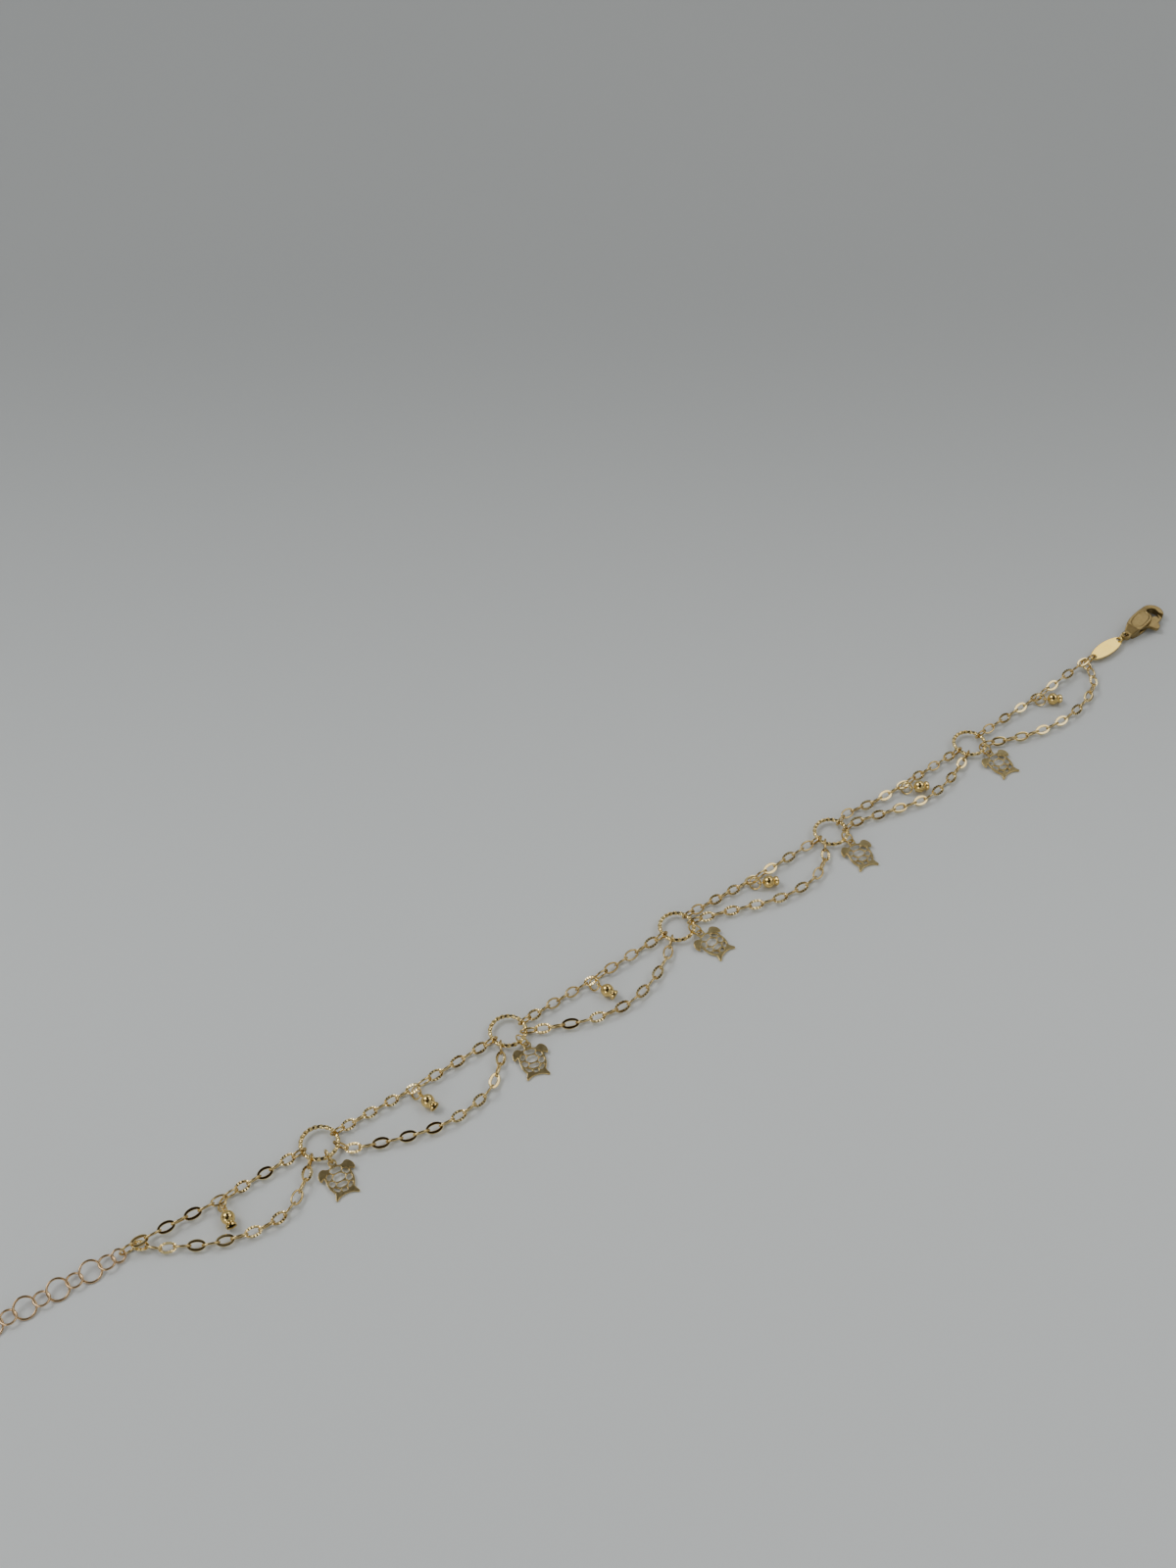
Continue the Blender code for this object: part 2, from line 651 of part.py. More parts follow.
def build_linking_rings():
    for name, hold, way in (("strand_link", EXTENDER_END, -1), ("tag_link", TAG_END, 1)):
        centre = hold + Vector((way * END_LINK_REACH, 0.0, 0.0))
        centre.z = END_LEVEL
        ring = wire_ring(END_LINK_LENGTH, END_LINK_WIDTH, END_LINK_WIRE)
        house(place(ring, centre, 0.0, math.pi / 2), name, CHAIN_GOLD)


def tag_outline():
    """The tag's oval, pointed a little at its ends."""
    steps = 28
    points = []
    for step in range(steps):
        turn = 2 * math.pi * step / steps
        points.append((TAG_LENGTH / 2 * math.cos(turn),
                       TAG_WIDTH / 2 * math.sin(turn) * (1 - TAG_POINT * math.cos(turn) ** 2)))
    return points


def build_tag_and_clasp_ring():
    along = polar(1.0, TAG_HEADING)
    hole_place = TAG_LENGTH / 2 - TAG_RIM - TAG_HOLE / 2
    left_hole = TAG_END + Vector((2 * END_LINK_REACH, 0.0, 0.0))
    centre = left_hole + along * hole_place
    centre.z = TAG_HEIGHT
    holes = [circle((way * hole_place, 0.0), TAG_HOLE / 2) for way in (-1, 1)]
    tag = flat_plate([tag_outline(), *holes], TAG_SHEET, TAG_EDGE)
    house(place(tag, centre, TAG_HEADING), "tag_plate", PLATE_GOLD)

    away = polar(1.0, CLASP_RING_HEADING)
    radius = (CLASP_RING - CLASP_RING_WIRE) / 2
    right_hole = centre + along * hole_place
    ring_centre = right_hole + away * radius
    ring_centre.z = CLASP_RING / 2
    ring = wire_ring(CLASP_RING, CLASP_RING, CLASP_RING_WIRE)
    house(place(ring, ring_centre, CLASP_RING_HEADING, math.pi / 2), "clasp_ring", PLATE_GOLD)
    tail = ring_centre + away * (radius - CLEARANCE)
    tail.z = CLASP_THICK / 2
    return tail


def box_cutter(low, high):
    bpy.ops.mesh.primitive_cube_add(size=1.0)
    cutter = bpy.context.object
    cutter.hide_render = True
    cutter.display_type = "WIRE"
    CUTTERS.objects.link(cutter)
    size = Vector(high) - Vector(low)
    middle = (Vector(high) + Vector(low)) / 2
    cutter.data.transform(Matrix.Translation(middle) @ Matrix.Diagonal((*size, 1.0)))
    return cutter


def scaled(points):
    return [(x * MM, y * MM) for x, y in points]


def build_clasp(tail):
    """Cast body with tail, slotted housing and hook, and a lever turning on a pin."""
    outer = HOOK_RADIUS + HOOK_BAND / 2
    inner = HOOK_RADIUS - HOOK_BAND / 2
    tail_ring = arc((0.0, 0.0), TAIL_OUTSIDE / 2, FULL_TURN - TAIL_OPEN, TAIL_OPEN, 8)
    hook = (arc(HOOK_CENTRE, outer, HOOK_START, HOOK_END - HOOK_SLANT, 9)
            + arc(HOOK_CENTRE, inner, HOOK_END, HOOK_MOUTH, 8))
    outline = tail_ring + scaled(HOUSING_BACK) + hook + scaled(HOUSING_FRONT)
    pin_hole = circle(PIVOT, PIN / 2 + PIN_PLAY)
    body = flat_plate([outline, circle((0.0, 0.0), TAIL_HOLE / 2), pin_hole],
                      CLASP_THICK)
    far = CLASP_THICK
    slot = box_cutter((SLOT_START, -3 * far, -SLOT_HEIGHT / 2), (SLOT_END, SLOT_ROOF, SLOT_HEIGHT / 2))
    above = box_cutter((-far, -far, TAIL_THICK / 2), (TAIL_STEP, far, far))
    below = box_cutter((-far, -far, -far), (TAIL_STEP, far, -TAIL_THICK / 2))
    body = combine([body, slot, above, below], "DIFFERENCE")
    house(place(body, tail, CLASP_HEADING), "clasp_body", CLASP_GOLD)

    nose = arc(PIVOT, LEVER_REACH, *LEVER_NOSE, 2)
    blade = flat_plate([nose + scaled(LEVER_TAB), pin_hole], LEVER_THICK)
    blade.data.transform(Matrix.Translation((-PIVOT[0], -PIVOT[1], 0.0)))
    pivot = tail + Matrix.Rotation(CLASP_HEADING, 3, "Z") @ Vector((*PIVOT, 0.0))
    house(place(blade, pivot, CLASP_HEADING), "clasp_lever", CLASP_GOLD)

    bpy.ops.mesh.primitive_cylinder_add(vertices=10, radius=PIN / 2,
                                        depth=CLASP_THICK - 2 * CLEARANCE)
    pin = bpy.context.object
    pin.data.shade_smooth()
    pin.data.set_sharp_from_angle(angle=math.radians(50))
    house(place(pin, pivot, CLASP_HEADING), "clasp_pin", CLASP_GOLD)


def centre_on_origin():
    """Move the whole anklet so that its footprint's middle is the origin, standing on Z 0."""
    bpy.context.view_layer.update()
    corners = [piece.matrix_world @ vertex.co
               for piece in ANKLET.objects for vertex in piece.data.vertices]
    low = [min(corner[axis] for corner in corners) for axis in range(3)]
    high = [max(corner[axis] for corner in corners) for axis in range(3)]
    shift = Vector((-(low[0] + high[0]) / 2, -(low[1] + high[1]) / 2, -low[2]))
    for piece in ANKLET.objects:
        piece.matrix_world = Matrix.Translation(shift) @ piece.matrix_world


def build_anklet():
    build_twisted_rings()
    drop_places = []
    for section in range(len(RINGS) + 1):
        build_upper_strand(section, drop_places)
        build_lower_strand(section)
    for number, (centre, degrees) in enumerate(zip(drop_places, DROP_HEADINGS), 1):
        build_bead_drop(number, centre, math.radians(degrees))
    charm_places = zip(RINGS, CHARM_HOLDS, CHARM_HEADINGS, CHARM_RING_HEADINGS)
    for number, place_on_ring in enumerate(charm_places, 1):
        build_turtle_charm(number, *place_on_ring)
    build_extender()
    build_linking_rings()
    build_clasp(build_tag_and_clasp_ring())
    centre_on_origin()


build_anklet()
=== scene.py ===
# %% [markdown]
# # A gold charm anklet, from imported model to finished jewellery
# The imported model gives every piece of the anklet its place: plain tubes where the fine chains
# run, plain wire where the twisted rings lie. This lesson loads that model as a fixed frame and
# dresses it, piece by piece, in the forms and the metal that a goldsmith would give it.

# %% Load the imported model
import math

import bmesh
import bpy
import numpy as np
from mathutils import Matrix, Vector


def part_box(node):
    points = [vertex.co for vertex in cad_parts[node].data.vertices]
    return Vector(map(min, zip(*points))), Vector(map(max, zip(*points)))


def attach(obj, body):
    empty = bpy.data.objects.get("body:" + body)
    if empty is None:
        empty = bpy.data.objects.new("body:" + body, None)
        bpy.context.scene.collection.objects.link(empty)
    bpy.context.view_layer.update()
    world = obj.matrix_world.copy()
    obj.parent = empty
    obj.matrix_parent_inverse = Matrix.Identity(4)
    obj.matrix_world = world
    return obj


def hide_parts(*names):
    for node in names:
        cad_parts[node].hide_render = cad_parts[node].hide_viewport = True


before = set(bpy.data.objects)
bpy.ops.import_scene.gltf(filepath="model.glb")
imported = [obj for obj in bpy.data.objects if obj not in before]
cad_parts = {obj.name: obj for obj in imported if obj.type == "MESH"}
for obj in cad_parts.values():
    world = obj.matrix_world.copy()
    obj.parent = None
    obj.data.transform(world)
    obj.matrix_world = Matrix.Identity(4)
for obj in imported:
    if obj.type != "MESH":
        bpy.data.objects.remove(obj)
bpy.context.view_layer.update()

MM = 0.001

# %% [markdown]
# ## Standing where the photographer stood
# The photograph was taken by hand with a phone, looking down at the anklet at 48 degrees. A
# camera can be placed by trial, or solved from things of known size: the five twisted rings are
# equal and evenly spaced, so their places in the picture fix the camera's height, pitch and
# distance. The solved values are used here, measured from the middle ring.

# %% Camera
CAMERA_PLACE = Vector((-126.9, -142.3, 245.0)) * MM
CAMERA_PITCH = math.radians(47.6)
CAMERA_TURN = math.radians(-37.19)
PICTURE_HEIGHT = 1600
FOCAL_PIXELS = 1850
SENSOR_HEIGHT = 24.0


def add_object(name, data):
    made = bpy.data.objects.new(name, data)
    bpy.context.scene.collection.objects.link(made)
    return made


def middle_of(node):
    low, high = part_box(node)
    return (low + high) / 2


RINGS = [middle_of(f"twisted_ring_{number}") for number in range(1, 6)]
MIDDLE_RING = Vector((RINGS[2].x, RINGS[2].y, 0.0))

lens = bpy.data.cameras.new("phone camera")
lens.sensor_fit = "VERTICAL"
lens.sensor_height = SENSOR_HEIGHT
lens.lens = SENSOR_HEIGHT * FOCAL_PIXELS / PICTURE_HEIGHT
lens.clip_start = 5 * MM
camera = add_object("camera", lens)
camera.location = MIDDLE_RING + CAMERA_PLACE
camera.rotation_euler = (math.pi / 2 - CAMERA_PITCH, 0.0, CAMERA_TURN)
bpy.context.scene.camera = camera
print("camera at", camera.location, "lens", lens.lens)

# %% [markdown]
# ## Materials from nodes
# A surface is a small network of nodes. A picture could be wrapped round each piece, but noise
# worked out from the piece itself never stretches. These helpers turn it into colour or relief.

# %% Material helpers
NOISE_RANGE = (0.3, 0.7)


def shader_of(finish):
    return finish.node_tree.nodes["Principled BSDF"]


def new_finish(name):
    finish = bpy.data.materials.new(name)
    finish.use_nodes = True
    return finish


def add_node(finish, kind, **settings):
    node = finish.node_tree.nodes.new(kind)
    for key, value in settings.items():
        if key in node.inputs:
            node.inputs[key].default_value = value
        else:
            setattr(node, key, value)
    return node


def join(finish, source, target):
    finish.node_tree.links.new(source, target)


def object_noise(finish, scale, detail):
    """Noise fixed to the piece itself, so that it stays put in every view."""
    place = add_node(finish, "ShaderNodeTexCoord")
    noise = add_node(finish, "ShaderNodeTexNoise", Scale=scale, Detail=detail)
    join(finish, place.outputs["Object"], noise.inputs["Vector"])
    return noise.outputs["Fac"]


def ramp(finish, value, stops):
    """Colours along a value."""
    node = add_node(finish, "ShaderNodeValToRGB")
    elements = node.color_ramp.elements
    for element, (place, colour) in zip(elements, stops):
        element.position = place
        element.color = (*colour, 1.0)
    join(finish, value, node.inputs["Fac"])
    return node.outputs["Color"]


def spread(finish, value, *limits, kind="LINEAR"):
    """A value carried from one range to another: limits are from low, from high, to low, to high."""
    named = dict(zip(("From Min", "From Max", "To Min", "To Max"), limits))
    node = add_node(finish, "ShaderNodeMapRange", interpolation_type=kind, **named)
    join(finish, value, node.inputs["Value"])
    return node.outputs["Result"]


def emboss(finish, value, strength, distance):
    """Relief too fine to model, from a value."""
    node = add_node(finish, "ShaderNodeBump", Strength=strength, Distance=distance)
    join(finish, value, node.inputs["Height"])
    join(finish, node.outputs["Normal"], shader_of(finish).inputs["Normal"])


def painted_far_shade(finish, colour, near, far, share):
    """Painted shade: a colour that falls to a share of itself with distance along the sheet."""
    place = add_node(finish, "ShaderNodeTexCoord")
    split = add_node(finish, "ShaderNodeSeparateXYZ")
    dim = add_node(finish, "ShaderNodeVectorMath", operation="SCALE")
    join(finish, place.outputs["Object"], split.inputs["Vector"])
    join(finish, colour, dim.inputs[0])
    fall = spread(finish, split.outputs["Y"], near, far, 1.0, share, kind="SMOOTHSTEP")
    join(finish, fall, dim.inputs["Scale"])
    return dim.outputs["Vector"]


def coat(mesh, *finishes):
    mesh.materials.clear()
    for finish in finishes:
        mesh.materials.append(finish)


print("noise is spread over", NOISE_RANGE)

# %% [markdown]
# ## A pale sheet
# Polished gold has hardly any colour of its own: it shows what stands round it. A flat plane would
# do for the pale grey sheet, but gold mirrors its far edge as a hard line, so the edge bends up.
# Painted shade darkens the paper to a share of its own tone with distance, as in the photograph.

# %% Backdrop sheet
SHEET_HALF_WIDTH = 1.4
SHEET_FRONT = -0.9
SHEET_BEND = 0.95
SHEET_BEND_RADIUS = 0.25
SHEET_BEND_TURN = math.radians(80)
SHEET_BEND_STEPS = 18
SHEET_TOP = 0.40
PAPER_TONES = ((0.35, (0.83, 0.87, 0.88)), (0.65, (0.87, 0.905, 0.91)))

sheet_finish = new_finish("pale grey paper")
paper = ramp(sheet_finish, object_noise(sheet_finish, scale=3.0, detail=2.0), PAPER_TONES)
# Painted shade: the paper's colour falls to 0.54 of itself between 0.16 and 0.40 along the sheet.
join(sheet_finish, painted_far_shade(sheet_finish, paper, near=0.16, far=0.40, share=0.54),
     shader_of(sheet_finish).inputs["Base Color"])
shader_of(sheet_finish).inputs["Roughness"].default_value = 0.75
grain = object_noise(sheet_finish, scale=900.0, detail=3.0)
emboss(sheet_finish, grain, strength=0.08, distance=0.2 * MM)

profile = [(SHEET_FRONT, 0.0), (SHEET_BEND, 0.0)]
for step in range(1, SHEET_BEND_STEPS + 1):
    turn = SHEET_BEND_TURN * step / SHEET_BEND_STEPS
    profile.append((SHEET_BEND + SHEET_BEND_RADIUS * math.sin(turn),
                    SHEET_BEND_RADIUS * (1 - math.cos(turn))))
profile.append((SHEET_BEND + SHEET_BEND_RADIUS * math.sin(turn) + 0.1, SHEET_TOP))
corners = [(side * SHEET_HALF_WIDTH, along, up) for along, up in profile for side in (-1, 1)]
faces = [(2 * n, 2 * n + 1, 2 * n + 3, 2 * n + 2) for n in range(len(profile) - 1)]
sheet_mesh = bpy.data.meshes.new("backdrop_sheet")
sheet_mesh.from_pydata(corners, [], faces)
sheet_mesh.shade_smooth()
coat(sheet_mesh, sheet_finish)
backdrop = add_object("backdrop_sheet", sheet_mesh)
backdrop.location = (camera.location.x, camera.location.y, 0.0)
backdrop.rotation_euler = (0.0, 0.0, CAMERA_TURN)
print("backdrop of", len(faces), "panels")

# %% [markdown]
# ## The room that the gold mirrors
# The metal mirrors bright and brown shapes of a room that the picture leaves out. They could be
# lamps and walls. A painted world is quicker to place: over one even tone lie soft-edged patches.

# %% Painted room
def facing(azimuth, elevation):
    """A direction from the anklet, with azimuth 0 on +X."""
    flat = math.cos(math.radians(elevation))
    return (flat * math.cos(math.radians(azimuth)), flat * math.sin(math.radians(azimuth)),
            math.sin(math.radians(elevation)))


room = bpy.data.worlds.new("photographer's room")
room.use_nodes = True
bpy.context.scene.world = room
ROOM_TONE = (0.40, 0.42, 0.445)
ROOM_STRENGTH = 0.98
# Soft-edged patches of the room: direction, angle where full, angle where gone, colour
PATCHES = (
    (facing(228, 52), 18, 34, (0.035, 0.028, 0.022)),
    (facing(60, 74), 12, 24, (0.05, 0.04, 0.03)),
    (facing(-60, 72), 13, 21, (0.02, 0.014, 0.012)),
    (facing(-30, 27), 12, 20, (0.12, 0.09, 0.06)),
    (facing(150, 27), 12, 20, (0.14, 0.115, 0.09)),
    (facing(37, 40), 7, 12, (2.1, 2.05, 1.9)),
    (facing(-20, 50), 14, 21, (1.9, 1.85, 1.7)),
    (facing(122, 50), 11, 18, (4.6, 4.6, 4.6)),
    (facing(204, 16), 10, 17, (2.5, 2.4, 2.2)),
)


def paint_room():
    """Mix the patches over the room's tone, one after another."""
    direction = add_node(room, "ShaderNodeTexCoord").outputs["Generated"]
    tone = add_node(room, "ShaderNodeRGB").outputs[0]
    tone.default_value = (*ROOM_TONE, 1.0)
    for way, full, gone, paint in PATCHES:
        match = add_node(room, "ShaderNodeVectorMath", operation="DOT_PRODUCT")
        match.inputs[1].default_value = way
        join(room, direction, match.inputs[0])
        edges = [math.cos(math.radians(angle)) for angle in (gone, full)]
        share = spread(room, match.outputs["Value"], *edges, 0.0, 1.0, kind="SMOOTHSTEP")
        mix = add_node(room, "ShaderNodeMix", data_type="RGBA")
        under, over = [socket for socket in mix.inputs if socket.type == "RGBA"]
        over.default_value = (*paint, 1.0)
        join(room, share, mix.inputs["Factor"])
        join(room, tone, under)
        tone = mix.outputs[2]
    backing = room.node_tree.nodes["Background"]
    backing.inputs["Strength"].default_value = ROOM_STRENGTH
    join(room, tone, backing.inputs["Color"])


paint_room()
print("patches in the room:", len(PATCHES))

# %% [markdown]
# ## Gold finishes
# All the pieces are the same alloy, but a maker leaves each with its own surface: drawn wire is
# bright with faint lengthwise marks, diamond-cut faces are mirrors, pressed charms are satin,
# the cast clasp is grainy. One function builds a gold from a colour, a polish and a fine
# texture, so that each finish differs only by what differs on the real anklet, save the
# near-black bore gold, which is painted shade.

# %% Gold finishes
TONE_SCALE = 0.35
RELIEF_SCALE = 2.0
RELIEF_DEPTH = 0.03 * MM


def gold(name, pale, deep, polish, texture, relief):
    """Metal that varies between two golds, and between two roughnesses, with a fine relief."""
    finish = new_finish(name)
    surface = shader_of(finish)
    surface.inputs["Metallic"].default_value = 1.0
    tone = object_noise(finish, texture * TONE_SCALE, 3.0)
    join(finish, ramp(finish, tone, ((0.35, deep), (0.65, pale))), surface.inputs["Base Color"])
    wear = object_noise(finish, texture, 5.0)
    join(finish, spread(finish, wear, *NOISE_RANGE, *polish), surface.inputs["Roughness"])
    if relief:
        emboss(finish, object_noise(finish, texture * RELIEF_SCALE, 2.0), relief, RELIEF_DEPTH)
    return finish


DRAWN_WIRE = gold("drawn gold wire", (0.76, 0.59, 0.28), (0.53, 0.375, 0.15), (0.08, 0.20), 1800.0, 0.10)
CUT_FACES = gold("diamond-cut gold", (0.90, 0.735, 0.37), (0.81, 0.605, 0.26), (0.03, 0.10), 1500.0, 0.0)
TWISTED = gold("twisted square gold wire", (0.86, 0.68, 0.31), (0.70, 0.50, 0.19), (0.03, 0.10),
               1500.0, 0.06)
MIRROR_BEAD = gold("polished gold bead", (0.86, 0.65, 0.26), (0.80, 0.575, 0.20), (0.02, 0.07), 700.0, 0.0)
SATIN_CHARM = gold("satin pressed gold", (0.375, 0.31, 0.16), (0.275, 0.215, 0.10), (0.32, 0.44),
                   2600.0, 0.30)
CHARM_EDGE = gold("sheared gold edge", (0.82, 0.64, 0.28), (0.68, 0.49, 0.19), (0.08, 0.18), 1800.0, 0.08)
TAG_FACE = gold("rolled gold tag", (0.93, 0.68, 0.17), (0.91, 0.65, 0.15), (0.16, 0.20), 1200.0, 0.05)
CAST_GOLD = gold("cast gold", (0.39, 0.29, 0.125), (0.32, 0.23, 0.095), (0.30, 0.42), 4200.0, 0.14)
ROSE_WIRE = gold("extender wire", (0.74, 0.53, 0.31), (0.58, 0.385, 0.20), (0.10, 0.22), 1500.0, 0.08)
# Painted shade: a near-black gold for the dark inside of each bead's bore.
BORE_SHADE = gold("painted bore shade", (0.09, 0.065, 0.03), (0.05, 0.035, 0.015), (0.30, 0.45), 2500.0, 0.1)
print("finishes:", len(bpy.data.materials))

# %% [markdown]
# ## Closed loops of wire
# A jump ring, a chain link and a twisted ring are all one thing: a wire section carried round a
# closed line. Blender's torus can't be oval, flattened or twisted, so the loop is built from
# numbers. At each step round the line a small closed section is set square to it, and the
# sections are skinned with quads. Every wire in the anklet comes from this one helper.

# %% Wire loops
UP = Vector((0.0, 0.0, 1.0))


def oval_stations(half_long, half_wide, steps):
    """Centre points and outward directions round an oval in the XY plane."""
    turns = np.linspace(0.0, 2 * np.pi, steps, endpoint=False)
    centre = np.stack([half_long * np.cos(turns), half_wide * np.sin(turns), 0 * turns], 1)
    out = np.stack([half_wide * np.cos(turns), half_long * np.sin(turns), 0 * turns], 1)
    out /= np.linalg.norm(out, axis=1, keepdims=True)
    return turns, centre, out


def swept(centre, out, across, height):
    """Sections square to a line, from how far each point lies outward and upward of it."""
    return (centre[:, None, :] + out[:, None, :] * across[..., None]
            + np.array(UP) * height[..., None])


def skin_loop(sections, shift=0):
    """Quads between neighbouring sections of a closed loop, shifted at the seam by some corners."""
    steps, corners = sections.shape[:2]
    number = np.arange(steps * corners).reshape(steps, corners)
    following = np.roll(number, -1, axis=0)
    following[-1] = np.roll(number[0], -shift)
    ahead = np.roll(number, -1, axis=1)
    ahead_following = np.roll(following, -1, axis=1)
    quads = np.stack([number, ahead, ahead_following, following], -1).reshape(-1, 4)
    return sections.reshape(-1, 3), quads


def round_section(wire, sides):
    turns = np.linspace(0.0, 2 * np.pi, sides, endpoint=False)
    return np.stack([np.cos(turns), np.sin(turns)], 1) * wire / 2


def wire_loop(length, width, wire, steps=36, sides=12):
    """A plain round wire bent to an oval."""
    turns, centre, out = oval_stations((length - wire) / 2, (width - wire) / 2, steps)
    ring = round_section(wire, sides)[None]
    return skin_loop(swept(centre, out, ring[..., 0], ring[..., 1]))


def placed(shape, matrix):
    points, quads = shape
    turn = np.array(matrix.to_3x3())
    return points @ turn.T + np.array(matrix.translation), quads


def frame_matrix(centre, along, across):
    """A place whose first axis is along and whose second is as near across as it can be."""
    first = along.normalized()
    normal = first.cross(across).normalized()
    turn = Matrix((first, normal.cross(first), normal)).transposed().to_4x4()
    return Matrix.Translation(centre) @ turn


def standing_loop(length, width, wire, centre, along):
    """A loop of wire that stands on edge."""
    return placed(wire_loop(length, width, wire, 48, 14), frame_matrix(centre, along, UP))


def make_piece(name, parts, finishes, replaced, crease=35):
    """One mesh from several shapes, each with the number of its finish, dressed over CAD nodes."""
    points, quads, finish_numbers, start = [], [], [], 0
    for shape, finish_number in parts:
        points.append(shape[0])
        quads.append(shape[1] + start)
        finish_numbers.append(np.full(len(shape[1]), finish_number))
        start += len(shape[0])
    mesh = bpy.data.meshes.new(name)
    mesh.from_pydata(np.concatenate(points).tolist(), [], np.concatenate(quads).tolist())
    coat(mesh, *finishes)
    mesh.polygons.foreach_set("material_index", np.concatenate(finish_numbers).astype(np.int32))
    return finish_piece(name, mesh, replaced, crease=crease)


def reshape(mesh, change):
    """Change a mesh by way of bmesh."""
    shape = bmesh.new()
    shape.from_mesh(mesh)
    change(shape)
    shape.to_mesh(mesh)
    shape.free()


def part_finishes(shape):
    """Keep a crisp line where a flat face, in one finish, meets its edge in another."""
    for edge in shape.edges:
        if len({face.material_index for face in edge.link_faces}) > 1:
            edge.smooth = False


def finish_piece(name, mesh, replaced, body="anklet", crease=35):
    """Shade a mesh, tie it to its CAD body, and hide the CAD nodes that it replaces."""
    reshape(mesh, lambda shape: bmesh.ops.recalc_face_normals(shape, faces=shape.faces))
    mesh.shade_smooth()
    mesh.set_sharp_from_angle(angle=math.radians(crease))
    if len(mesh.materials) > 1:
        reshape(mesh, part_finishes)
    piece = add_object(name, mesh)
    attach(piece, body)
    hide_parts(*replaced)
    return piece


print("a plain loop has", len(wire_loop(2.9 * MM, 1.8 * MM, 0.4 * MM)[1]), "quads")

# %% [markdown]
# ## Chain links
# The fine chain is a diamond-cut cable: every second link lies flat, and a cutter has planed its
# two faces and then scored them all round with short rays that flash as the chain moves. The
# links between stand on edge and keep their round wire. A few of the flat links are planed but
# not scored. The rays are modelled, not painted: each one is a groove with two slanting walls.

# %% Link shapes
LINK_WIDTH = 1.8 * MM
STANDING_WIDTH = 1.62 * MM
LINK_WIRE = 0.35 * MM
LINK_PLAY = 0.03 * MM
PLANED_THICK = 0.30 * MM
PLANED_END = 0.38 * MM
PLANED_SIDE = 0.47 * MM
RAYS = 16
RAY_STEPS = 4
RAY_DEPTH = 0.09 * MM
PLAIN_STEPS = 56
CROWN = 0.02 * MM
EDGE_BREAK = 0.05 * MM


def planed_link(length, scored):
    """A flat link with a band wider at its sides than at its ends, scored with rays or plain."""
    steps = RAYS * RAY_STEPS if scored else PLAIN_STEPS
    turns = np.linspace(0.0, 2 * np.pi, steps, endpoint=False)
    band = PLANED_END + (PLANED_SIDE - PLANED_END) * np.sin(turns) ** 2
    half_long = (length - PLANED_END) / 2
    half_wide = (LINK_WIDTH - PLANED_SIDE) / 2
    _, centre, out = oval_stations(half_long, half_wide, steps)
    step_share = np.arange(steps) % RAY_STEPS
    groove = np.where(step_share == 0, 0.0, np.where(step_share == 2, 1.0, 0.5))
    groove = groove * (RAY_DEPTH if scored else 0.0)
    top = PLANED_THICK / 2 - groove
    half = band / 2
    wall = top - EDGE_BREAK
    notch = groove * 0.5
    radial = np.stack([half - notch, half - notch, half - EDGE_BREAK, 0 * half, -half + EDGE_BREAK,
                       -half, -half, -half + EDGE_BREAK, 0 * half, half - EDGE_BREAK], 1)
    height = np.stack([-wall, wall, top, top + CROWN, top, wall, -wall, -top,
                       -top - CROWN, -top], 1)
    return skin_loop(swept(centre, out, radial, height))


def link_shapes(pitch):
    """Ray-cut, flat and plain wire links, as long as the step between two links needs."""
    length = pitch + 2 * LINK_WIRE + LINK_PLAY
    return {"R": planed_link(length, True), "F": planed_link(length, False),
            "W": wire_loop(length, LINK_WIDTH, LINK_WIRE),
            "standing": wire_loop(length, STANDING_WIDTH, LINK_WIRE)}


print("quads in a scored link:", len(link_shapes(2.15 * MM)["R"][1]))

# %% [markdown]
# ## Laying the two strands
# A chain of separate links can be laid by simulation, by an array along a curve, or by walking
# along the curve and setting each link down. The walk is exact and quick: the curve comes from
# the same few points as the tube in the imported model, the links take turns to lie and to stand,
# and the number of links is chosen so that each hooks its neighbour with a little play. The
# links at the rings and the one that carries the drop stay where the solid has them.

# %% Routes
CHAIN_LEVEL = 0.9 * MM
RING_RADIUS = 2.9 * MM
RING_HOLD = 0.51 * MM
EXTENDER_REACH = Vector((-30.6, 1.6, 0.0)) * MM
TAG_REACH = Vector((33.35, 1.8, 0.0)) * MM
SWAG_DEPTH = 8.0 * MM
END_LINK_SET = 0.57 * MM
STACK_STEP = 0.26 * MM
END_LEVEL = 1.05 * MM
EAST = Vector((1.0, 0.0, 0.0))
TAG_UPPER_WAY = Vector((-1.0, -0.02, 0.0))
TAG_LOWER_WAY = 72
EXTENDER_LOWER_WAY = -50
HEADING_REACH = 5
MOST_LINKS = 40
LINK_PITCH = 2.175 * MM
UPPER_LEFT_HOLDS = (173, 180, 180, 178, 182)
UPPER_RIGHT_HOLDS = (3, 0, 18, 18, 8)
LOWER_LEFT_HOLDS = (213, 212, 214, 208, 218)
LOWER_RIGHT_HOLDS = (-42, -38, -14, -20, -42)
UPPER_ROUTES = (
    ((0.437, 0.035),),
    ((0.48, 0.03),),
    ((0.475, 0.025),),
    ((0.475, -0.01),),
    ((0.16, -0.17), (0.30, -0.06), (0.51, -0.01)),
    ((0.565, 0.02),),
)
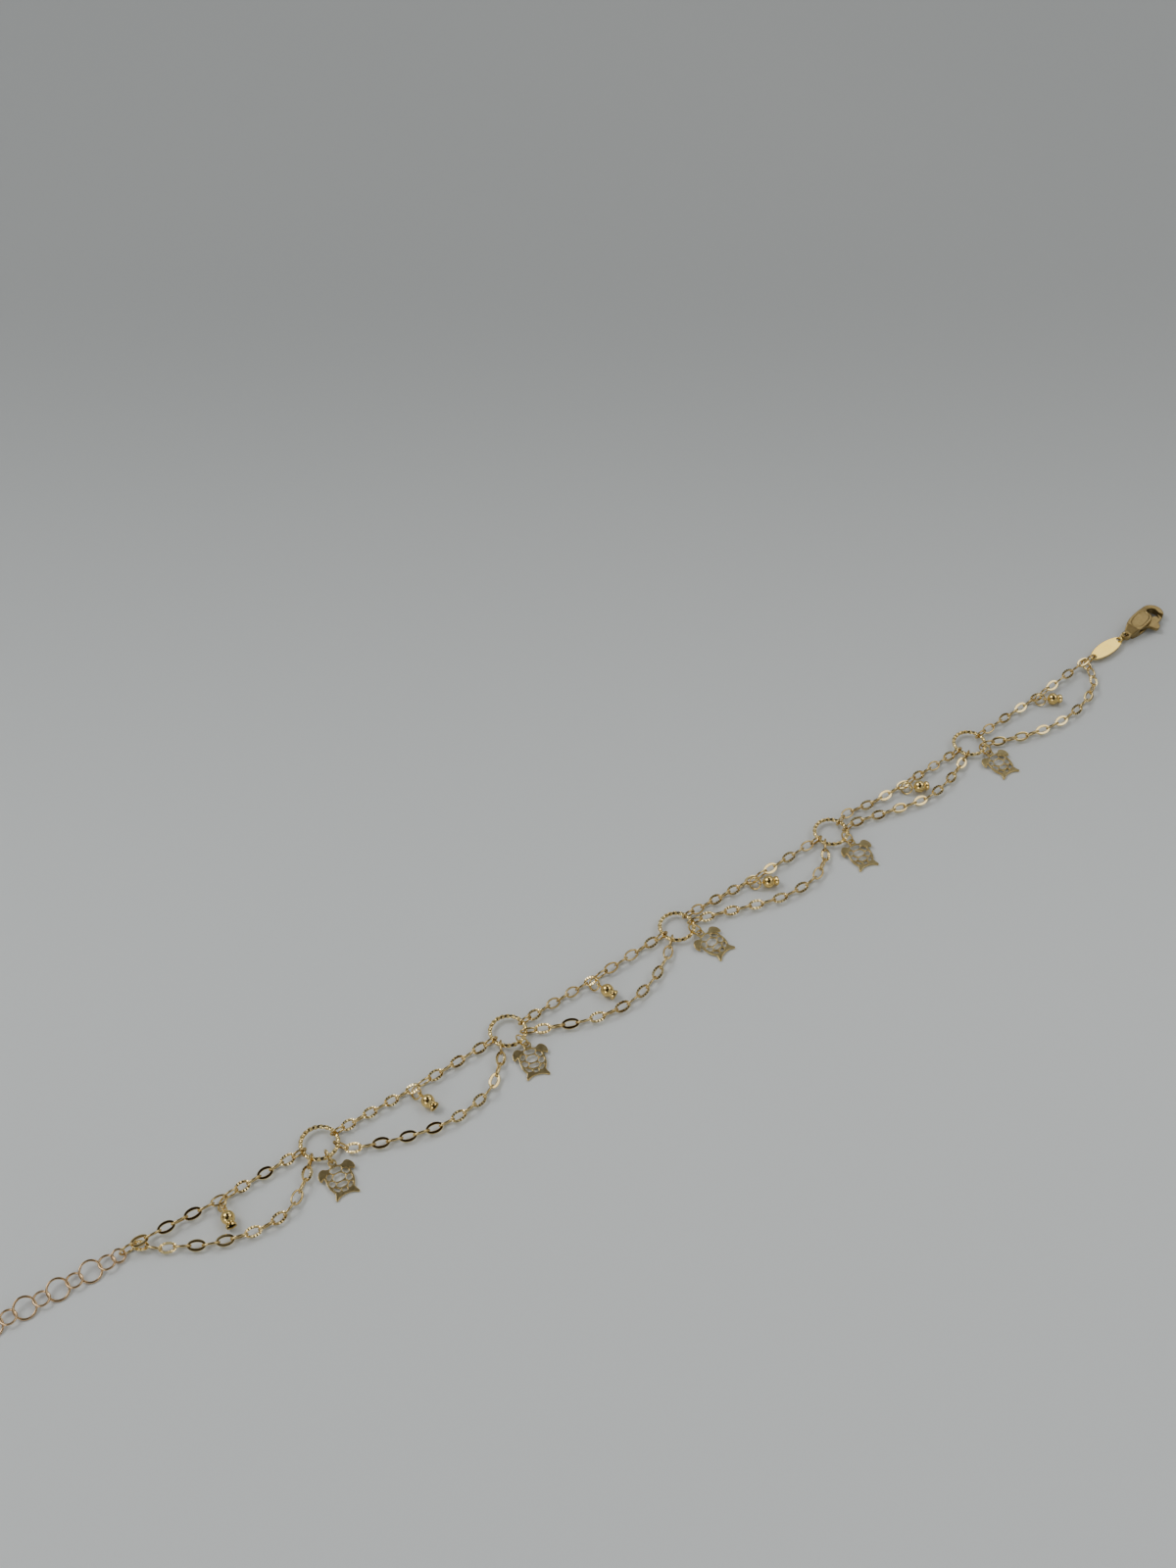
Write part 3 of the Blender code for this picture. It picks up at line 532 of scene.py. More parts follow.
LOWER_ROUTES = (
    ((0.085, 0.33), (0.15, 0.46), (0.30, 0.78), (0.51, 1.0), (0.68, 0.95), (0.82, 0.60)),
    ((0.10, 0.47), (0.26, 0.78), (0.44, 1.03), (0.60, 1.08), (0.76, 0.92), (0.88, 0.50)),
    ((0.18, 0.48), (0.35, 0.80), (0.52, 0.94), (0.68, 0.83), (0.83, 0.54)),
    ((0.18, 0.22), (0.34, 0.48), (0.53, 0.75), (0.72, 0.78), (0.85, 0.52)),
    ((0.16, 0.15), (0.34, 0.38), (0.55, 0.60), (0.73, 0.52), (0.86, 0.34)),
    ((0.12, 0.36), (0.30, 0.69), (0.50, 0.90), (0.70, 0.90), (0.86, 0.72), (0.95, 0.44)),
)
EXTENDER_END = RINGS[0] + EXTENDER_REACH
TAG_END = RINGS[-1] + TAG_REACH


def polar(radius, degrees):
    turn = math.radians(degrees)
    return Vector((radius * math.cos(turn), radius * math.sin(turn), 0.0))


def route_points(section, shares):
    start = [EXTENDER_END, *RINGS][section]
    finish = [*RINGS, TAG_END][section]
    points = [start.lerp(finish, along) - Vector((0.0, SWAG_DEPTH * down, 0.0))
              for along, down in shares]
    for point in points:
        point.z = CHAIN_LEVEL
    return points


def ring_link(ring, degrees, toward):
    """Where the link that hooks a twisted ring has its centre."""
    hold = ring + polar(RING_RADIUS, degrees)
    hold.z = CHAIN_LEVEL
    return hold + (toward - hold).normalized() * RING_HOLD


def smooth_line(points, parts=40):
    """A fine line along a smooth curve through the points."""
    ends = [2 * points[0] - points[1], *points, 2 * points[-1] - points[-2]]
    line = []
    for before, here, there, after in zip(ends, ends[1:], ends[2:], ends[3:]):
        for part in range(parts):
            t = part / parts
            line.append(0.5 * (2 * here + (there - before) * t
                               + (2 * before - 5 * here + 4 * there - after) * t * t
                               + (3 * here - before - 3 * there + after) * t ** 3))
    line.append(points[-1].copy())
    return line


def walk(line, count):
    """Places and headings at even steps along a line, both ends included."""
    lengths = [0.0]
    for here, there in zip(line, line[1:]):
        lengths.append(lengths[-1] + (there - here).length)
    stations = []
    for number in range(count + 1):
        target = lengths[-1] * number / count
        after = max(1, next(i for i, w in enumerate(lengths) if w >= target - 1e-12))
        share = (target - lengths[after - 1]) / (lengths[after] - lengths[after - 1])
        low = line[max(after - 1 - HEADING_REACH, 0)]
        high = line[min(after + HEADING_REACH, len(line) - 1)]
        stations.append((line[after - 1].lerp(line[after], share), (high - low).normalized()))
    return stations


def line_length(line):
    return sum((there - here).length for here, there in zip(line, line[1:]))


def link_count(line, odd):
    """How many steps the links take along a line, odd where a standing link follows a lying one."""
    choices = [n for n in range(1, MOST_LINKS) if n % 2 == odd]
    return min(choices, key=lambda n: abs(line_length(line) / n - LINK_PITCH))


print("extender end", EXTENDER_END, "tag end", TAG_END)

# %% [markdown]
# ## From places to strands
# In a real chain each link leans its own way, so each flashes at its own moment. Copies at one
# angle would look machined, so a fixed seed gives each a small lean. Letters name the lying links
# in turn: R is scored with rays, F planed and plain, W round wire.

# %% Strands
UPPER_CUTS = ("FFFWRFR", "RRRRRRR", "RWWRWWR", "WRRFFRW", "WRFFRWR", "WRFRFRFR")
LOWER_CUTS = ("RRFFRRWR", "RFFFRRFR", "RFRRRRWR", "RRRRRWRR", "RRFFRRFR", "FFFFRFRRW")
CHAIN_ROLL = 24.0
LEAN = 5.0
chance = np.random.default_rng(7)


def lay_links(stations, shapes, first_lies, cuts, keep_level):
    """Turn a row of places into links that lie and stand in turn."""
    parts = []
    lying = 0
    for number, (centre, along) in enumerate(stations):
        lies = (number % 2 == 0) == first_lies
        roll = CHAIN_ROLL + chance.uniform(-LEAN, LEAN)
        if number in keep_level:
            roll = 0.0
        turn = math.radians(roll + (0.0 if lies else 90.0))
        side = Vector((-along.y, along.x, 0.0)).normalized()
        across = side * math.cos(turn) + UP * math.sin(turn)
        matrix = frame_matrix(centre, along, across)
        if lies:
            cut = cuts[lying % len(cuts)]
            lying += 1
            parts.append((placed(shapes[cut], matrix), 0 if cut == "W" else 1))
        else:
            parts.append((placed(shapes["standing"], matrix), 0))
    return parts


def make_strand(kind, section, cuts, stretches):
    """A strand piece from its stretches: points, whether the first link lies, and fixed ends."""
    parts = []
    for points, first_lies, last_lies in stretches:
        line = smooth_line(points)
        count = link_count(line, first_lies != last_lies)
        stations = walk(line, count)
        if parts:
            stations = stations[1:]
            first_lies = not first_lies
        shapes = link_shapes(line_length(line) / count)
        parts += lay_links(stations, shapes, first_lies, cuts[(len(parts) + 1) // 2:],
                           {0, len(stations) - 1})
        print(kind, section + 1, "pitch", round(line_length(line) / count / MM, 3))
    return make_piece(f"{kind}_chain_{section + 1}", parts, [DRAWN_WIRE, CUT_FACES],
                      [f"{kind}_strand_{section + 1}"])


def end_link(hold, away, level):
    """The lying link on a linking ring."""
    centre = hold + away * END_LINK_SET
    return Vector((centre.x, centre.y, level))


def build_strands():
    drops = []
    for section in range(6):
        upper = route_points(section, UPPER_ROUTES[section])
        lower = route_points(section, LOWER_ROUTES[section])
        first_lies, last_lies = section == 0, section == 5
        if first_lies:
            start = end_link(EXTENDER_END, EAST, END_LEVEL + STACK_STEP)
            low_start = end_link(EXTENDER_END, polar(1.0, EXTENDER_LOWER_WAY), END_LEVEL - STACK_STEP)
        else:
            start = ring_link(RINGS[section - 1], UPPER_RIGHT_HOLDS[section - 1], upper[0])
            low_start = ring_link(RINGS[section - 1], LOWER_RIGHT_HOLDS[section - 1], lower[0])
        if last_lies:
            finish = end_link(TAG_END, TAG_UPPER_WAY, END_LEVEL + STACK_STEP)
            low_finish = end_link(TAG_END, -polar(1.0, TAG_LOWER_WAY), END_LEVEL - STACK_STEP)
        else:
            finish = ring_link(RINGS[section], UPPER_LEFT_HOLDS[section], upper[-1])
            low_finish = ring_link(RINGS[section], LOWER_LEFT_HOLDS[section], lower[-1])
        drop = upper[-1]
        drops.append(drop)
        make_strand("upper", section, UPPER_CUTS[section],
                    [([start, *upper], first_lies, True), ([drop, finish], True, last_lies)])
        make_strand("lower", section, LOWER_CUTS[section],
                    [([low_start, *lower, low_finish], first_lies, last_lies)])
    return drops


drop_places = build_strands()

# %% [markdown]
# ## Twisted rings
# Each connecting ring is square wire, twisted along its length and bent round, so that its four
# flats come past in turn and flash one after another. The twist has to close: after one trip
# round the ring the section must match itself, which a square does after any number of quarter
# turns. Twenty quarter turns give the spacing of the flashes in the photograph.

# %% Twisted rings
TWISTED_OUTSIDE = 6.46 * MM
TWIST_ROOM = 0.66 * MM
RING_SPIN = 37
SQUARE_SIDE = 0.53 * MM
SQUARE_CORNER = 0.07 * MM
QUARTER_TURNS = 20
STEPS_PER_QUARTER = 9


def turned(x, y, angle):
    return x * np.cos(angle) - y * np.sin(angle), x * np.sin(angle) + y * np.cos(angle)


def square_section():
    """A square with softened corners, three points to each corner."""
    half = SQUARE_SIDE / 2
    tip = half - 0.25 * SQUARE_CORNER
    corner = np.array([(half, half - SQUARE_CORNER), (tip, tip), (half - SQUARE_CORNER, half)])
    quarters = [turned(*corner.T, quarter * math.pi / 2) for quarter in range(4)]
    return np.concatenate(quarters, 1)


def twisted_loop():
    radius = (TWISTED_OUTSIDE - TWIST_ROOM) / 2
    turns, centre, out = oval_stations(radius, radius, QUARTER_TURNS * STEPS_PER_QUARTER)
    x, y = square_section()
    twist = turns[:, None] * QUARTER_TURNS / 4
    shift = QUARTER_TURNS * len(x) // 4 % len(x)
    return skin_loop(swept(centre, out, *turned(x, y, twist)), shift)


for number, ring in enumerate(RINGS, 1):
    spin = Matrix.Rotation(math.radians(RING_SPIN * number), 4, "Z")
    shape = placed(twisted_loop(), Matrix.Translation(ring) @ spin)
    make_piece(f"twisted_wire_ring_{number}", [(shape, 0)], [TWISTED], [f"twisted_ring_{number}"],
               crease=25)
print("twisted rings:", len(RINGS))

# %% [markdown]
# ## Bead drops
# A drop is a small jump ring through a chain link, and a hollow bead soldered to a wire eye. At
# the bead's far end a short neck carries a tiny flared cup. The bead is turned: a half outline
# spun round its axis gives a perfect ball that mirrors the whole room.

# %% Bead drops
DROP_HEADINGS = (-100, -77, -69, -20, -19, -24)
DROP_RING_SWING = 19.5
DROP_RING_LIMIT = -70
DROP_RING_LEAN = math.radians(50)
DROP_RING_HEIGHT = 0.98 * MM
DROP_RING_OFFSET = 1.0 * MM
DROP_RING = 2.3 * MM
DROP_WIRE = 0.30 * MM
BEAD = 2.2 * MM
FOOT = 1.7 * MM
FOOT_REACH = 1.62 * MM
FOOT_EDGE = 0.15 * MM
BALL_END = 40
BORE_RADIUS = 0.68 * MM
BORE_END = 0.7 * MM
BAIL = 1.2 * MM
BAIL_WIRE = 0.26 * MM
# Half outlines of the cup in millimetres: distance from the axis, and along it
CUP_NECK = ((0.70, 0.90), (0.69, 1.02), (0.72, 1.12))
CUP_MOUTH = ((0.66, 1.50), (0.60, 1.40), (0.58, 1.20), (0.56, 0.95), (0.50, 0.80), (0.40, 0.74),
             (0.0, 0.72))


def lathe(outline, sides=48):
    """Spin a closed half outline, which starts and ends on the axis, round Z."""
    turns = np.linspace(0.0, 2 * np.pi, sides, endpoint=False)
    inner = np.array(outline[1:-1])
    rows = np.stack([np.cos(turns)[None, :] * inner[:, :1], np.sin(turns)[None, :] * inner[:, :1],
                     np.repeat(inner[:, 1:], sides, 1)], -1)
    points = [*rows.reshape(-1, 3), (0.0, 0.0, outline[0][1]), (0.0, 0.0, outline[-1][1])]
    number = np.arange(len(inner) * sides).reshape(len(inner), sides)
    ahead = np.roll(number, -1, axis=1)
    quads = np.stack([number[:-1], ahead[:-1], ahead[1:], number[1:]], -1).reshape(-1, 4).tolist()
    start, end = len(points) - 2, len(points) - 1
    quads += [(start, ahead[0][n], number[0][n]) for n in range(sides)]
    quads += [(end, number[-1][n], ahead[-1][n]) for n in range(sides)]
    return points, quads


def bead_outline():
    """Ball, neck and cup, and the bore in the cup's mouth, which takes a painted shade."""
    ball = [(BEAD / 2 * math.sin(math.radians(a)), BEAD / 2 * math.cos(math.radians(a)))
            for a in range(180, BALL_END, -5)]
    rim, lip = FOOT / 2 / MM, FOOT_REACH / MM
    flare = [(rim - 0.06, 1.20), (rim, 1.28), (rim, lip - 0.07), (rim - 0.04, lip),
             (rim - 0.10, lip - 0.02)]
    return ball + [(across * MM, along * MM) for across, along in [*CUP_NECK, *flare, *CUP_MOUTH]]


def add_shape(builder, points, faces, matrix):
    corners = [builder.verts.new(matrix @ Vector(point)) for point in points]
    for face in faces:
        builder.faces.new([corners[n] for n in face])


def build_drop(number, hooked):
    heading = DROP_HEADINGS[number - 1]
    swing = min(heading - DROP_RING_SWING, DROP_RING_LIMIT)
    level = polar(1.0, swing)
    rise = polar(math.cos(DROP_RING_LEAN), swing + 90)
    rise.z = math.sin(DROP_RING_LEAN)
    centre = hooked - Vector((0.0, DROP_RING_OFFSET, 0.0))
    centre.z = DROP_RING_HEIGHT
    ring = placed(wire_loop(DROP_RING, DROP_RING, DROP_WIRE, 48, 14), frame_matrix(centre, level, rise))
    make_piece(f"drop_jump_ring_{number}", [(ring, 0)], [CHARM_EDGE], [f"drop_ring_{number}"])

    tip = math.asin((BEAD - FOOT) / 2 / (FOOT_REACH - FOOT_EDGE))
    along = polar(math.cos(tip), heading)
    along.z = -math.sin(tip)
    reach = BEAD / 2 + BAIL / 2 - BAIL_WIRE / 2
    radius = (DROP_RING - DROP_WIRE) / 2
    climb = BEAD / 2 + math.sin(tip) * reach - DROP_RING_HEIGHT
    lift = math.asin(climb / radius / math.sin(DROP_RING_LEAN))
    hold = centre + (level * math.cos(lift) + rise * math.sin(lift)) * radius
    tangent = rise * math.cos(lift) - level * math.sin(lift)
    across = (tangent - along * tangent.dot(along)).normalized()
    eye, quads = wire_loop(BAIL, BAIL, BAIL_WIRE, 40, 12)
    points, faces = lathe(bead_outline())
    shape = bmesh.new()
    add_shape(shape, eye, quads, frame_matrix(hold, along, across.cross(along)))
    seat = frame_matrix(hold + along * reach, across, along.cross(across))
    add_shape(shape, points, faces, seat)
    mesh = bpy.data.meshes.new(f"bead_{number}")
    shape.to_mesh(mesh)
    shape.free()
    coat(mesh, MIRROR_BEAD, BORE_SHADE)
    # Faces deep in the bore take the painted shade.
    away = seat.inverted()
    for face in mesh.polygons:
        middle = away @ face.center
        if middle.z > BORE_END and math.hypot(middle.x, middle.y) < BORE_RADIUS:
            face.material_index = 1
    finish_piece(f"bead_charm_{number}", mesh, [f"bead_drop_{number}"])


for number, place in enumerate(drop_places, 1):
    build_drop(number, place)
print("drops:", len(drop_places))

# %% [markdown]
# ## Turtle charms
# The turtles are pressed from thin sheet and pierced: ten cells make the shell's pattern, and a
# hole in the head takes the jump ring. They could be carved, but half an outline and a few cells,
# held as shares of the length and half width and then mirrored, draw the whole and resize well.

# %% Turtle outline
CHARM_LENGTH = 6.85 * MM
CHARM_HALF_WIDTH = 2.95 * MM
CHARM_SHEET = 0.35 * MM
CHARM_ROUNDING = 0.055 * MM
CELL_GROWTH = 1.12
CHARM_HEAD = 1.36 * MM
CHARM_HEAD_HOLE = 0.84 * MM
CHARM_NECK = 63
CHARM_TAIL = 0.901
CHARM_SLOPE = math.radians(4.5)
CHARM_RING = 2.6 * MM
CHARM_RING_WIRE = 0.30 * MM
CHARM_RING_SET_BACK = 0.3 * MM
CHARM_HOLDS = (-94, -80, -52, -68, -72)
CHARM_HEADINGS = (-98.6, -108, -79, -101, -93)
CHARM_RING_HEADINGS = (-92, -70, -62, -77, -72)
# One half of the outline: share of the length, of the half width, and 1 where a corner stays
CHARM_OUTLINE = (
    (0.095, 0.2, 1), (0.113, 0.31, 0), (0.1, 0.45, 0), (0.063, 0.59, 0), (0.066, 0.75, 0), (0.114, 0.888, 0),
    (0.197, 0.985, 0), (0.285, 0.992, 0), (0.335, 0.93, 1), (0.3, 0.82, 0), (0.27, 0.72, 1),
    (0.38, 0.722, 0), (0.482, 0.729, 0), (0.584, 0.688, 0), (0.672, 0.6, 0), (0.723, 0.53, 1),
    (0.796, 0.59, 0), (0.86, 0.655, 0), (0.895, 0.65, 0), (0.9, 0.58, 0), (0.85, 0.407, 0),
    (0.822, 0.203, 0), (0.815, 0.0, 0),
)
SIDE_CELLS = (
    ((0.219, 0.39), (0.27, 0.271), (0.353, 0.414), (0.368, 0.492), (0.347, 0.603),
     (0.285, 0.593), (0.234, 0.508)),
    ((0.4, 0.447), (0.47, 0.305), (0.499, 0.305), (0.547, 0.407), (0.543, 0.542),
     (0.489, 0.61), (0.416, 0.61)),
    ((0.587, 0.414), (0.645, 0.251), (0.693, 0.224), (0.712, 0.312), (0.679, 0.454),
     (0.62, 0.529), (0.584, 0.492)),
)
MIDDLE_CELLS = (
    ((0.12, 0.0), (0.128, 0.19), (0.172, 0.3), (0.226, 0.244), (0.251, 0.169), (0.254, 0.0)),
    ((0.289, 0.0), (0.295, 0.176), (0.38, 0.332), (0.46, 0.186), (0.47, 0.0)),
    ((0.511, 0.0), (0.507, 0.186), (0.562, 0.292), (0.616, 0.163), (0.623, 0.0)),
    ((0.667, 0.0), (0.665, 0.13), (0.745, 0.12), (0.75, 0.0)),
)
print("cells in a shell:", 2 * len(SIDE_CELLS) + len(MIDDLE_CELLS))

# %% [markdown]
# ## Pierced sheet
# A flat curve with other curves inside it fills into a sheet with holes. Booleans could pierce it
# too, but thin webs shade badly after them. The curve's bevel gives the bright, rounded edge.

# %% Pierced sheets
FLAT_ENOUGH = 0.995
SEAM = 0.002 * MM


def soften(outline, share=0.2):
    """Cut the corners of a closed outline twice, which rounds them."""
    for _ in range(2):
        rounded = []
        for (x, y), (u, v) in zip(outline, outline[1:] + outline[:1]):
            rounded += [(x + (u - x) * share, y + (v - y) * share),
                        (u + (x - u) * share, v + (y - v) * share)]
        outline = rounded
    return outline


def arc(centre, radius, start, finish, steps):
    turns = [math.radians(start + (finish - start) * step / steps) for step in range(steps + 1)]
    return [(centre[0] + radius * math.cos(a), centre[1] + radius * math.sin(a)) for a in turns]


def smooth_run(points, parts=6):
    line = smooth_line([Vector((x, y, 0.0)) for x, y in points], parts)
    return [(p.x, p.y) for p in line]


def smooth_outline(marked):
    """A smooth line through marked points that keeps the corners asked for."""
    points = [(x, y) for x, y, _ in marked]
    stops = [0, *[n for n, (_, _, corner) in enumerate(marked) if corner and n], len(marked) - 1]
    line = []
    for start, end in zip(stops, stops[1:]):
        if end > start:
            line += smooth_run(points[start:end + 1], 5)[:-1]
    return line + points[-1:]


def frozen(holder, *cutters):
    """The mesh that an object's curve or modifiers give, once the working objects are gone."""
    bpy.context.view_layer.update()
    evaluated = holder.evaluated_get(bpy.context.evaluated_depsgraph_get())
    result = bpy.data.meshes.new_from_object(evaluated)
    for used in (holder, *cutters):
        bpy.data.objects.remove(used)
    return result


def pierced_sheet(outlines, thickness, rounding, rounds=2):
    """A flat sheet with holes and rounded edges, as a mesh."""
    drawing = bpy.data.curves.new("sheet", "CURVE")
    drawing.dimensions = "2D"
    drawing.fill_mode = "BOTH"
    drawing.extrude = thickness / 2 - rounding
    if rounding:
        drawing.bevel_depth = rounding
        drawing.bevel_resolution = rounds
        drawing.offset = -rounding
    for outline in outlines:
        spline = drawing.splines.new("POLY")
        spline.points.add(len(outline) - 1)
        spline.use_cyclic_u = True
        for point, (x, y) in zip(spline.points, outline):
            point.co = (x, y, 0.0, 1.0)
    mesh = frozen(add_object("sheet", drawing))
    reshape(mesh, lambda shape: bmesh.ops.remove_doubles(shape, verts=shape.verts, dist=SEAM))
    return mesh


def split_finishes(mesh, face_finish, edge_finish):
    """Faces square to Z take one finish and the edges another."""
    coat(mesh, face_finish, edge_finish)
    for face in mesh.polygons:
        face.material_index = 0 if abs(face.normal.z) > FLAT_ENOUGH else 1


def grown(outline):
    """A cell a little larger about its middle, for finer webs between the cells."""
    x = sum(point[0] for point in outline) / len(outline)
    y = sum(point[1] for point in outline) / len(outline)
    return [(x + (u - x) * CELL_GROWTH, y + (v - y) * CELL_GROWTH) for u, v in outline]


print("points in a softened square:", len(soften([(0, 0), (1, 0), (1, 1), (0, 1)])))

# %% Turtle charms
def turtle_outlines():
    side = smooth_outline([(a * CHARM_LENGTH, b * CHARM_HALF_WIDTH, c) for a, b, c in CHARM_OUTLINE])
    head = arc((0.0, 0.0), CHARM_HEAD / 2, 360 - CHARM_NECK, CHARM_NECK, 24)
    outlines = [head + side + [(x, -y) for x, y in reversed(side[:-1])],
                arc((0.0, 0.0), CHARM_HEAD_HOLE / 2, 0, 345, 23)]
    for cell in SIDE_CELLS:
        for way in (1, -1):
            half = [(a * CHARM_LENGTH, way * b * CHARM_HALF_WIDTH) for a, b in cell]
            outlines.append(grown(soften(half)))
    for cell in MIDDLE_CELLS:
        right = [(a * CHARM_LENGTH, b * CHARM_HALF_WIDTH) for a, b in cell]
        left = [(x, -y) for x, y in reversed(right) if y > 0.0]
        outlines.append(grown(soften(right + left)))
    return outlines


def build_turtle(number, ring):
    heading = CHARM_HEADINGS[number - 1]
    away = polar(1.0, CHARM_RING_HEADINGS[number - 1])
    hold = ring + polar(RING_RADIUS, CHARM_HOLDS[number - 1])
    loop_centre = hold + away * CHARM_RING_SET_BACK
    loop_centre.z = CHARM_RING / 2
    loop = standing_loop(CHARM_RING, CHARM_RING, CHARM_RING_WIRE, loop_centre, away)
    make_piece(f"turtle_jump_ring_{number}", [(loop, 0)], [CHARM_EDGE], [f"turtle_ring_{number}"])
    level = CHARM_SHEET / 2 + CHARM_TAIL * CHARM_LENGTH * math.sin(CHARM_SLOPE)
    loop_radius = (CHARM_RING - CHARM_RING_WIRE) / 2
    reach = math.sqrt(loop_radius ** 2 - (loop_centre.z - level) ** 2)
    head = loop_centre + away * reach
    head.z = level
    mesh = pierced_sheet(turtle_outlines(), CHARM_SHEET, CHARM_ROUNDING)
    split_finishes(mesh, SATIN_CHARM, CHARM_EDGE)
    turn = Matrix.Rotation(math.radians(heading), 4, "Z") @ Matrix.Rotation(CHARM_SLOPE, 4, "Y")
    mesh.transform(Matrix.Translation(head) @ turn)
    finish_piece(f"turtle_{number}", mesh, [f"turtle_charm_{number}"])


for number, ring in enumerate(RINGS, 1):
    build_turtle(number, ring)
print("turtles:", len(RINGS))

# %% [markdown]
# ## Extender and linking rings
# Beyond the strands come round rings, large and small in turn, that let the wearer choose the
# length. Each lies tilted against its neighbour, as the camera found them. The small upright ovals
# join both strands to the extender and to the tag. A loop sets each ring against the one before.

# %% Extender and linking rings
LARGE_RING = 3.6 * MM
SMALL_RING = 2.75 * MM
FIRST_RING = 2.3 * MM
EXTENDER_WIRE = 0.32 * MM
STOUT_WIRE = 0.37 * MM
EXTENDER_PAIRS = 4
EXTENDER_PITCH = 2.55 * MM
FIRST_PITCH = 1.9 * MM
EXTENDER_HEIGHT = 0.72 * MM
FIRST_RING_SET = 0.72 * MM
EXTENDER_HEADING = 177
WELD = 0.06 * MM
END_LINK = (3.0 * MM, 2.1 * MM, 0.35 * MM)
END_LINK_REACH = (END_LINK[0] - END_LINK[2]) / 2


def ring_tilt(radius, other_radius, pitch, other_tilt):
    along = (pitch ** 2 + radius ** 2 - other_radius ** 2) / (2 * pitch)
    out = math.sqrt(radius ** 2 - along ** 2)
    return math.asin((EXTENDER_WIRE - WELD) / out - math.sin(other_tilt))


def tilted_ring(size, centre, tilt):
    turn = Matrix.Rotation(math.radians(EXTENDER_HEADING), 4, "Z") @ Matrix.Rotation(tilt, 4, "X")
    return placed(wire_loop(size, size, STOUT_WIRE, 56, 14), Matrix.Translation(centre) @ turn)


def build_extender():
    large = (LARGE_RING - EXTENDER_WIRE) / 2
    small = (SMALL_RING - EXTENDER_WIRE) / 2
    first = (FIRST_RING - EXTENDER_WIRE) / 2
    large_tilt = math.asin((EXTENDER_HEIGHT - EXTENDER_WIRE / 2) / large)
    small_tilt = ring_tilt(large, small, EXTENDER_PITCH, large_tilt)
    first_tilt = ring_tilt(first, small, FIRST_PITCH, small_tilt)
    away = polar(1.0, EXTENDER_HEADING)
    centre = EXTENDER_END - Vector((2 * END_LINK_REACH, 0.0, 0.0)) + away * (first - FIRST_RING_SET)
    centre.z = EXTENDER_HEIGHT
    rings = [(tilted_ring(FIRST_RING, centre, -first_tilt), 0)]
    step = FIRST_PITCH
    for _ in range(EXTENDER_PAIRS):
        centre = centre + away * step
        rings.append((tilted_ring(SMALL_RING, centre, small_tilt), 0))
        step = EXTENDER_PITCH
        centre = centre + away * step
        rings.append((tilted_ring(LARGE_RING, centre, -large_tilt), 0))
    make_piece("extender_rings", rings, [ROSE_WIRE], ["extender_chain"])
    print("extender rings:", len(rings))


build_extender()
for name, node, hold, way in (("strand_oval", "strand_link", EXTENDER_END, -1),
                              ("tag_oval", "tag_link", TAG_END, 1)):
    middle = hold + Vector((way * END_LINK_REACH, 0.0, 0.0))
    middle.z = END_LINK[1] / 2
    make_piece(name, [(standing_loop(*END_LINK, middle, EAST), 0)], [DRAWN_WIRE], [node])

# %% [markdown]
# ## Tag
# The tag is a thin blank plate with a hole near each end. A flattened disc would have round ends,
# but these are slightly pointed, so the edge is worked out step by step and filled as before.

# %% Tag
TAG_LENGTH = 9.2 * MM
TAG_WIDTH = 3.15 * MM
TAG_SHEET = 0.45 * MM
TAG_HOLE = 0.95 * MM
TAG_RIM = 0.34 * MM
TAG_POINT = 0.12
TAG_STEPS = 72
TAG_ROUNDING = 0.10 * MM
TAG_HEIGHT = 0.85 * MM
TAG_HEADING = 3
CLASP_RING = 2.4 * MM
CLASP_RING_WIRE = 0.35 * MM
CLASP_RING_HEADING = -4
CLEARANCE = 0.15 * MM

tag_along = polar(1.0, TAG_HEADING)
hole_place = TAG_LENGTH / 2 - TAG_RIM - TAG_HOLE / 2
tag_middle = TAG_END + Vector((2 * END_LINK_REACH, 0.0, 0.0)) + tag_along * hole_place
tag_middle.z = TAG_HEIGHT
tag_edge = []
for step in range(TAG_STEPS):
    turn = 2 * math.pi * step / TAG_STEPS
    narrow = 1 - TAG_POINT * math.cos(turn) ** 2
    tag_edge.append((TAG_LENGTH / 2 * math.cos(turn), TAG_WIDTH / 2 * math.sin(turn) * narrow))
holes = [arc((way * hole_place, 0.0), TAG_HOLE / 2, 0, 348, 29) for way in (-1, 1)]
tag_mesh = pierced_sheet([tag_edge, *holes], TAG_SHEET, TAG_ROUNDING, 3)
split_finishes(tag_mesh, TAG_FACE, CHARM_EDGE)
tag_mesh.transform(Matrix.Translation(tag_middle) @ Matrix.Rotation(math.radians(TAG_HEADING), 4, "Z"))
finish_piece("oval_tag", tag_mesh, ["tag_plate"])

ring_away = polar(1.0, CLASP_RING_HEADING)
ring_radius = (CLASP_RING - CLASP_RING_WIRE) / 2
ring_middle = tag_middle + tag_along * hole_place + ring_away * ring_radius
ring_middle.z = CLASP_RING / 2
clasp_loop = standing_loop(CLASP_RING, CLASP_RING, CLASP_RING_WIRE, ring_middle, ring_away)
make_piece("clasp_jump_ring", [(clasp_loop, 0)], [CHARM_EDGE], ["clasp_ring"])
tail = ring_middle + ring_away * (ring_radius - CLEARANCE)
tail.z = 0.0
print("tag middle", tag_middle, "clasp tail", tail)

# %% [markdown]
# ## Lobster clasp
# The clasp is cast: a swelling body with an eye at its tail and a hook at its nose, slotted to
# take a sprung lever with a thumb tab. It could be sculpted, but an outline of arcs and a few
# points, given thickness, keeps the hook round and the slot square, so the lever can swing.

